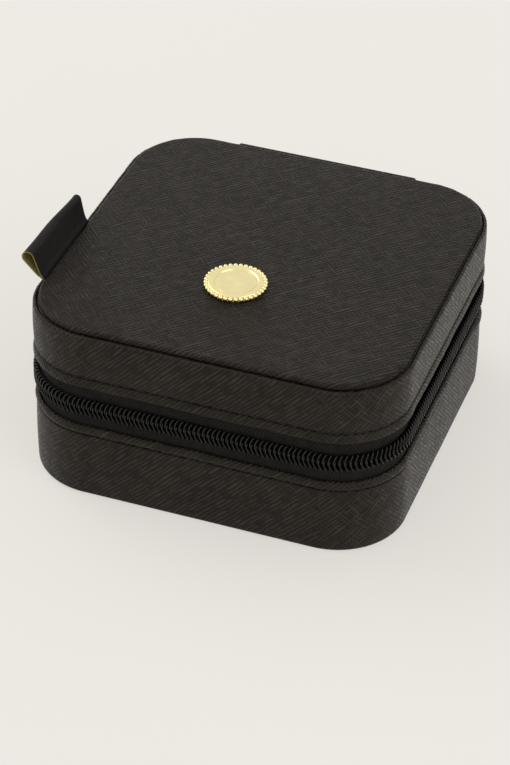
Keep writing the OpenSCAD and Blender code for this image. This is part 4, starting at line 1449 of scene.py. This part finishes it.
class CASE_OT_rolls(Dresser, bpy.types.Operator):
    """Makes the six padded ring rolls"""
    bl_idname = "case.rolls"
    bl_label = "Ring rolls"

    def dress(self, scene):
        for k in range(1, 7):
            made = self.roll(k)
            finished(made, velvet(), "base", "velvet", f"ring_roll_{k}", sharp=0)

    def roll(self, k):
        """A velvet roll: flat under, round over, with gathered ends that follow the tray's wall."""
        low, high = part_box(f"ring_roll_{k}")
        foot, end_r, pressed = 1.6 * MM, 2.4 * MM, 0.06 * MM
        gather_depth, pull_in, lump = 0.16 * MM, 0.22 * MM, 0.13 * MM
        length = high.y - low.y
        middle = (low.x + high.x) / 2
        half = (high.x - low.x) / 2 + pressed
        heart = high.z - half
        right = [*arc((half - foot, low.z + foot), foot, -1, 0, 7),
                 *((half, heart * up + (low.z + foot) * (1 - up)) for up in (0.3, 0.6, 0.85)),
                 *arc((0, heart), half, 0, 1, 15)]
        section = np.array([(0, low.z), *right, *((-x, z) for x, z in right[-2::-1])])
        centre = np.array([0, (heart + low.z) / 2 + 1 * MM])
        from_centre = section - centre
        reach = np.linalg.norm(from_centre, axis=1)
        angle = np.arctan2(from_centre[:, 1], from_centre[:, 0])
        steps = np.sin(np.linspace(0, math.pi / 2, 9)) ** 2 * end_r
        run = np.concatenate([steps, np.linspace(end_r, length - end_r, 30)[1:-1],
                              length - steps[::-1]])
        near_end = np.minimum(run, length - run)[:, None]
        phase = np.random.default_rng(k).uniform(0, 2 * math.pi, 4)
        gather = gather_depth * np.sin(17 * angle + phase[0]) * fading(near_end, 3)
        lumps = lump * (np.sin(run[:, None] / (6.5 * MM) + phase[1] + 1.5 * angle)
                        + np.sin(2 * angle + phase[2] - run[:, None] / (11 * MM)) - 1.4)
        off_bed = np.clip((section[:, 1] - low.z) / (1.5 * MM), 0, 1)
        shrink = (rounded_end(near_end, end_r) - lumps * off_bed
                  + (pull_in + gather) * fading(near_end, 4) * off_bed)
        ring = centre + from_centre * (1 - shrink / reach)[..., None]
        # each end is closed by rings that shrink to its heart and sink in
        closing = (0.12, 0.4, 0.7, 0.9)
        sunk = 0.35 * MM * np.array([1, 0.7, 0.2, 0.0])
        caps = [ring[0] * part + centre * (1 - part) for part in closing]
        tails = [ring[-1] * part + centre * (1 - part) for part in closing[::-1]]
        ring = np.concatenate([caps, ring, tails])
        run = np.concatenate([sunk, run, length - sunk[::-1]])
        x = middle + ring[..., 0]
        corner = max(abs(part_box("ring_roll_1")[0].x) - CENTRE_X, 0)
        aside = np.clip(np.abs(x) - CENTRE_X, 0, corner * 0.995)
        rear = high.y - corner + np.sqrt(corner ** 2 - aside ** 2)
        y = low.y + run[:, None] / length * (rear - low.y)
        return surface(f"ring_pad_{k}", placed(x, y, ring[..., 1]), closed=(False, True),
                       capped=True)


class CASE_OT_lid_inside(Dresser, bpy.types.Operator):
    """Lines the lid and makes its gathered pocket"""
    bl_idname = "case.lid_inside"
    bl_label = "Lid lining and pocket"

    def dress(self, scene):
        self.lining()
        self.pocket()

    def lining(self):
        """A padded panel set in a velvet wall with a rolled rim."""
        low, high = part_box("lid_lining")
        face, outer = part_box("lid_pocket")[1].z, high.x - HALF_W
        thick = high.z - face
        inner, half, roll, bevel = outer - thick, thick / 2, 0.75 * thick, 0.2 * MM
        middle, panel_in, soft_in = -14 * MM, -9 * MM, -6.5 * MM
        panel = arc((inner - 0.1 * MM - roll, face + roll), roll, -1, 0, 7)
        rim = arc(((outer + inner) / 2, low.z + half), half, 2, 4, 9)
        wall = [(inner, z) for z in np.linspace(face + roll + 0.05 * MM, low.z + half, 7)[:-1]]
        section = np.array([(middle, face), (panel_in, face), *panel, *wall, *rim,
                            (outer, high.z - bevel), (outer - bevel, high.z), (middle, high.z)])
        out, height = section.T
        inside = (out < outer - 0.3 * MM) & (out > soft_in) & (height < face)
        velvet_shell("lid_velvet", section, 0.06 * MM * inside, (17, 26, 39), 3, "lid",
                     "lid_lining")

    def pocket(self):
        """A gathered satin pocket, sewn flat at its back and sides, with an elastic mouth."""
        low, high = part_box("lid_pocket")
        band_low, band_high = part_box("pocket_elastic")
        face, half = high.z - 0.1 * MM, high.x
        depth = face - (band_low.z + band_high.z) / 2
        across = np.sin(np.linspace(-1, 1, 241) * math.pi / 2)
        back = np.linspace(0, 1, 45)[:, None]
        x, run = across * half, back * (high.y - low.y)
        sides = (1 - np.abs(across) ** 5) ** 0.5
        puffed = 0.93 + 0.12 * np.sin(math.pi * np.minimum(1, 1.4 * back))
        rise = (1 - back ** 2.6) ** 0.62 * puffed
        # pleats drift sideways, so that no two are alike
        drift = 0.5 * np.sin(x / (7 * MM) + 0.8) + 0.35 * np.sin(x / (3.1 * MM) - 1.1)
        ruffle = np.sin(x / (0.46 * MM) + 2.2 * drift)
        turned = np.sin(run / (9 * MM) + x / (13 * MM))
        fold = np.sin(x / (1.15 * MM) + 3 * drift + 0.9 * turned)
        pleats = (0.3 * fading(run, 4) * ruffle + 0.42 * fading(run, 16) * fold
                  + 0.2 * fading(run[-1] - run, 3.5) * ruffle) * MM
        calm = np.clip((1 - np.abs(across)) / 0.06, 0, 1) * np.clip((1 - back) / 0.04, 0, 1)
        z = face - depth * sides * rise - (pleats - 0.25 * MM) * calm * sides
        grid = placed(x, low.y + run, z)
        sheet = surface("pocket_satin", grid)
        thick = sheet.modifiers.new("Cloth", "SOLIDIFY")
        thick.thickness = 0.3 * MM
        thick.offset = 0
        finished(applied(sheet), satin_cloth(), "lid", "satin", "lid_pocket", sharp=0)
        mouth = grid[0].copy()
        mouth[:, 1] = (band_low.y + band_high.y) / 2 + 0.15 * MM
        gathered = (band_high.z - band_low.z) / 2 * (0.82 + 0.16 * ruffle[0] * calm[0])
        gathered[[0, -1]] = 0.25 * MM
        casing = tube("elastic_casing", mouth, gathered, 14, across=(0.0, 1.0, 0.0))
        finished(casing, satin_cloth(), "lid", "satin", "pocket_elastic", sharp=0)


class CASE_OT_tabs(Dresser, bpy.types.Operator):
    """Makes the necklace tabs, their snaps and their anchors"""
    bl_idname = "case.tabs"
    bl_label = "Necklace tabs"

    def dress(self, scene):
        short = one_stitch(1.5 * MM, 0.3 * MM, 0)
        for k in range(1, 4):
            self.strap(k, short)
            self.cap(k)
            for part in ("tab_anchor", "snap_stud"):
                softened(f"{part}_{k}", f"{part}_metal_{k}", 0.15 * MM, pale_gold(), "lid",
                         "pale_gold")
        bpy.data.objects.remove(short)

    def strap(self, k, stitch):
        """The strap, and the two rows of stitches along its sides, above and below."""
        node = f"necklace_tab_{k}"
        softened(node, f"tab_satin_{k}", 0.42 * MM, satin_cloth(), f"tab_{k}", "satin", 4)
        low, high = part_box(node)
        cap_low, cap_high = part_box(f"snap_cap_{k}")
        side_in, proud, end_gap = 1.1 * MM, 0.02 * MM, 0.6 * MM
        hinge = low.y + (high.z - low.z)
        rows = []
        for x in (low.x + side_in, high.x - side_in):
            for face in (cap_high.z + proud, cap_high.z - TAB_T - proud):
                line = [(x, y, face) for y in np.linspace(hinge, cap_low.y + end_gap, 30)]
                rows.append(grown("row", line, row_tree(), {"Shape": stitch, "Pitch": 2.1 * MM}))
        finished(joined(f"tab_stitches_{k}", rows), thread((0.09, 0.078, 0.066)), f"tab_{k}",
                 "satin")

    def cap(self, k):
        """The snap's cap: a domed disc with a rolled edge, and its collar through the strap."""
        low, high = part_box(f"snap_cap_{k}")
        radius = (high.x - low.x) / 2
        strap = high.z - TAB_T
        hole = strap - 0.5 * MM
        # shares of the radius, and millimetres up from the face
        dome = [(0, 0), (0.35, 0.02), (0.6, 0.1), (0.7, 0.22), (0.76, 0.22), (0.82, 0.1),
                (0.9, 0.08), (0.97, 0.2), (1, 0.42)]
        rolled = [(1, 0.25), (0.97, 0.05), (0.9, 0)]
        profile = [*((share * radius, low.z + up * MM) for share, up in dome),
                   *((share * radius, strap - down * MM) for share, down in rolled),
                   (COLLAR_R, strap), (COLLAR_R, high.z), (STUD_HOLE_R, high.z),
                   (STUD_HOLE_R, hole), (0, hole)]
        middle = ((low.x + high.x) / 2, (low.y + high.y) / 2, 0)
        made = revolved(f"snap_cap_metal_{k}", profile, middle, 64)
        finished(made, pale_gold(), f"tab_{k}", "pale_gold", f"snap_cap_{k}")


class CASE_PT_panel(bpy.types.Panel):
    """Lists the case's settings and pieces"""
    bl_idname = "CASE_PT_panel"
    bl_label = "Jewellery Case"
    bl_space_type = "VIEW_3D"
    bl_region_type = "UI"
    bl_category = "Jewellery Case"

    def draw(self, context):
        for group in SETTINGS:
            box = self.layout.box()
            box.label(text=group.__doc__)
            settings = getattr(context.scene, SETTINGS[group])
            for name in group.__annotations__:
                box.prop(settings, name)
        for operator in OPERATORS:
            self.layout.operator(operator.bl_idname)


SETTINGS = {CaseLeather: "case_leather", CaseZip: "case_zip", CaseBadge: "case_badge",
            CaseLabel: "case_label", CaseLining: "case_lining", CaseStage: "case_stage"}
OPERATORS = (CASE_OT_stage, CASE_OT_bands, CASE_OT_top, CASE_OT_tapes, CASE_OT_coils,
             CASE_OT_slider, CASE_OT_stitches, CASE_OT_hinge, CASE_OT_badge, CASE_OT_label,
             CASE_OT_boards, CASE_OT_tray, CASE_OT_rolls, CASE_OT_lid_inside, CASE_OT_tabs)


def register():
    for made in (*SETTINGS, *OPERATORS, CASE_PT_panel):
        bpy.utils.register_class(made)
    for group, name in SETTINGS.items():
        setattr(bpy.types.Scene, name, PointerProperty(type=group))


def unregister():
    for name in SETTINGS.values():
        delattr(bpy.types.Scene, name)
    for made in reversed((*SETTINGS, *OPERATORS, CASE_PT_panel)):
        bpy.utils.unregister_class(made)


def main():
    register()
    for operator in OPERATORS:
        family, name = operator.bl_idname.split(".")
        getattr(getattr(bpy.ops, family), name)()


if __name__ == "__main__":
    main()
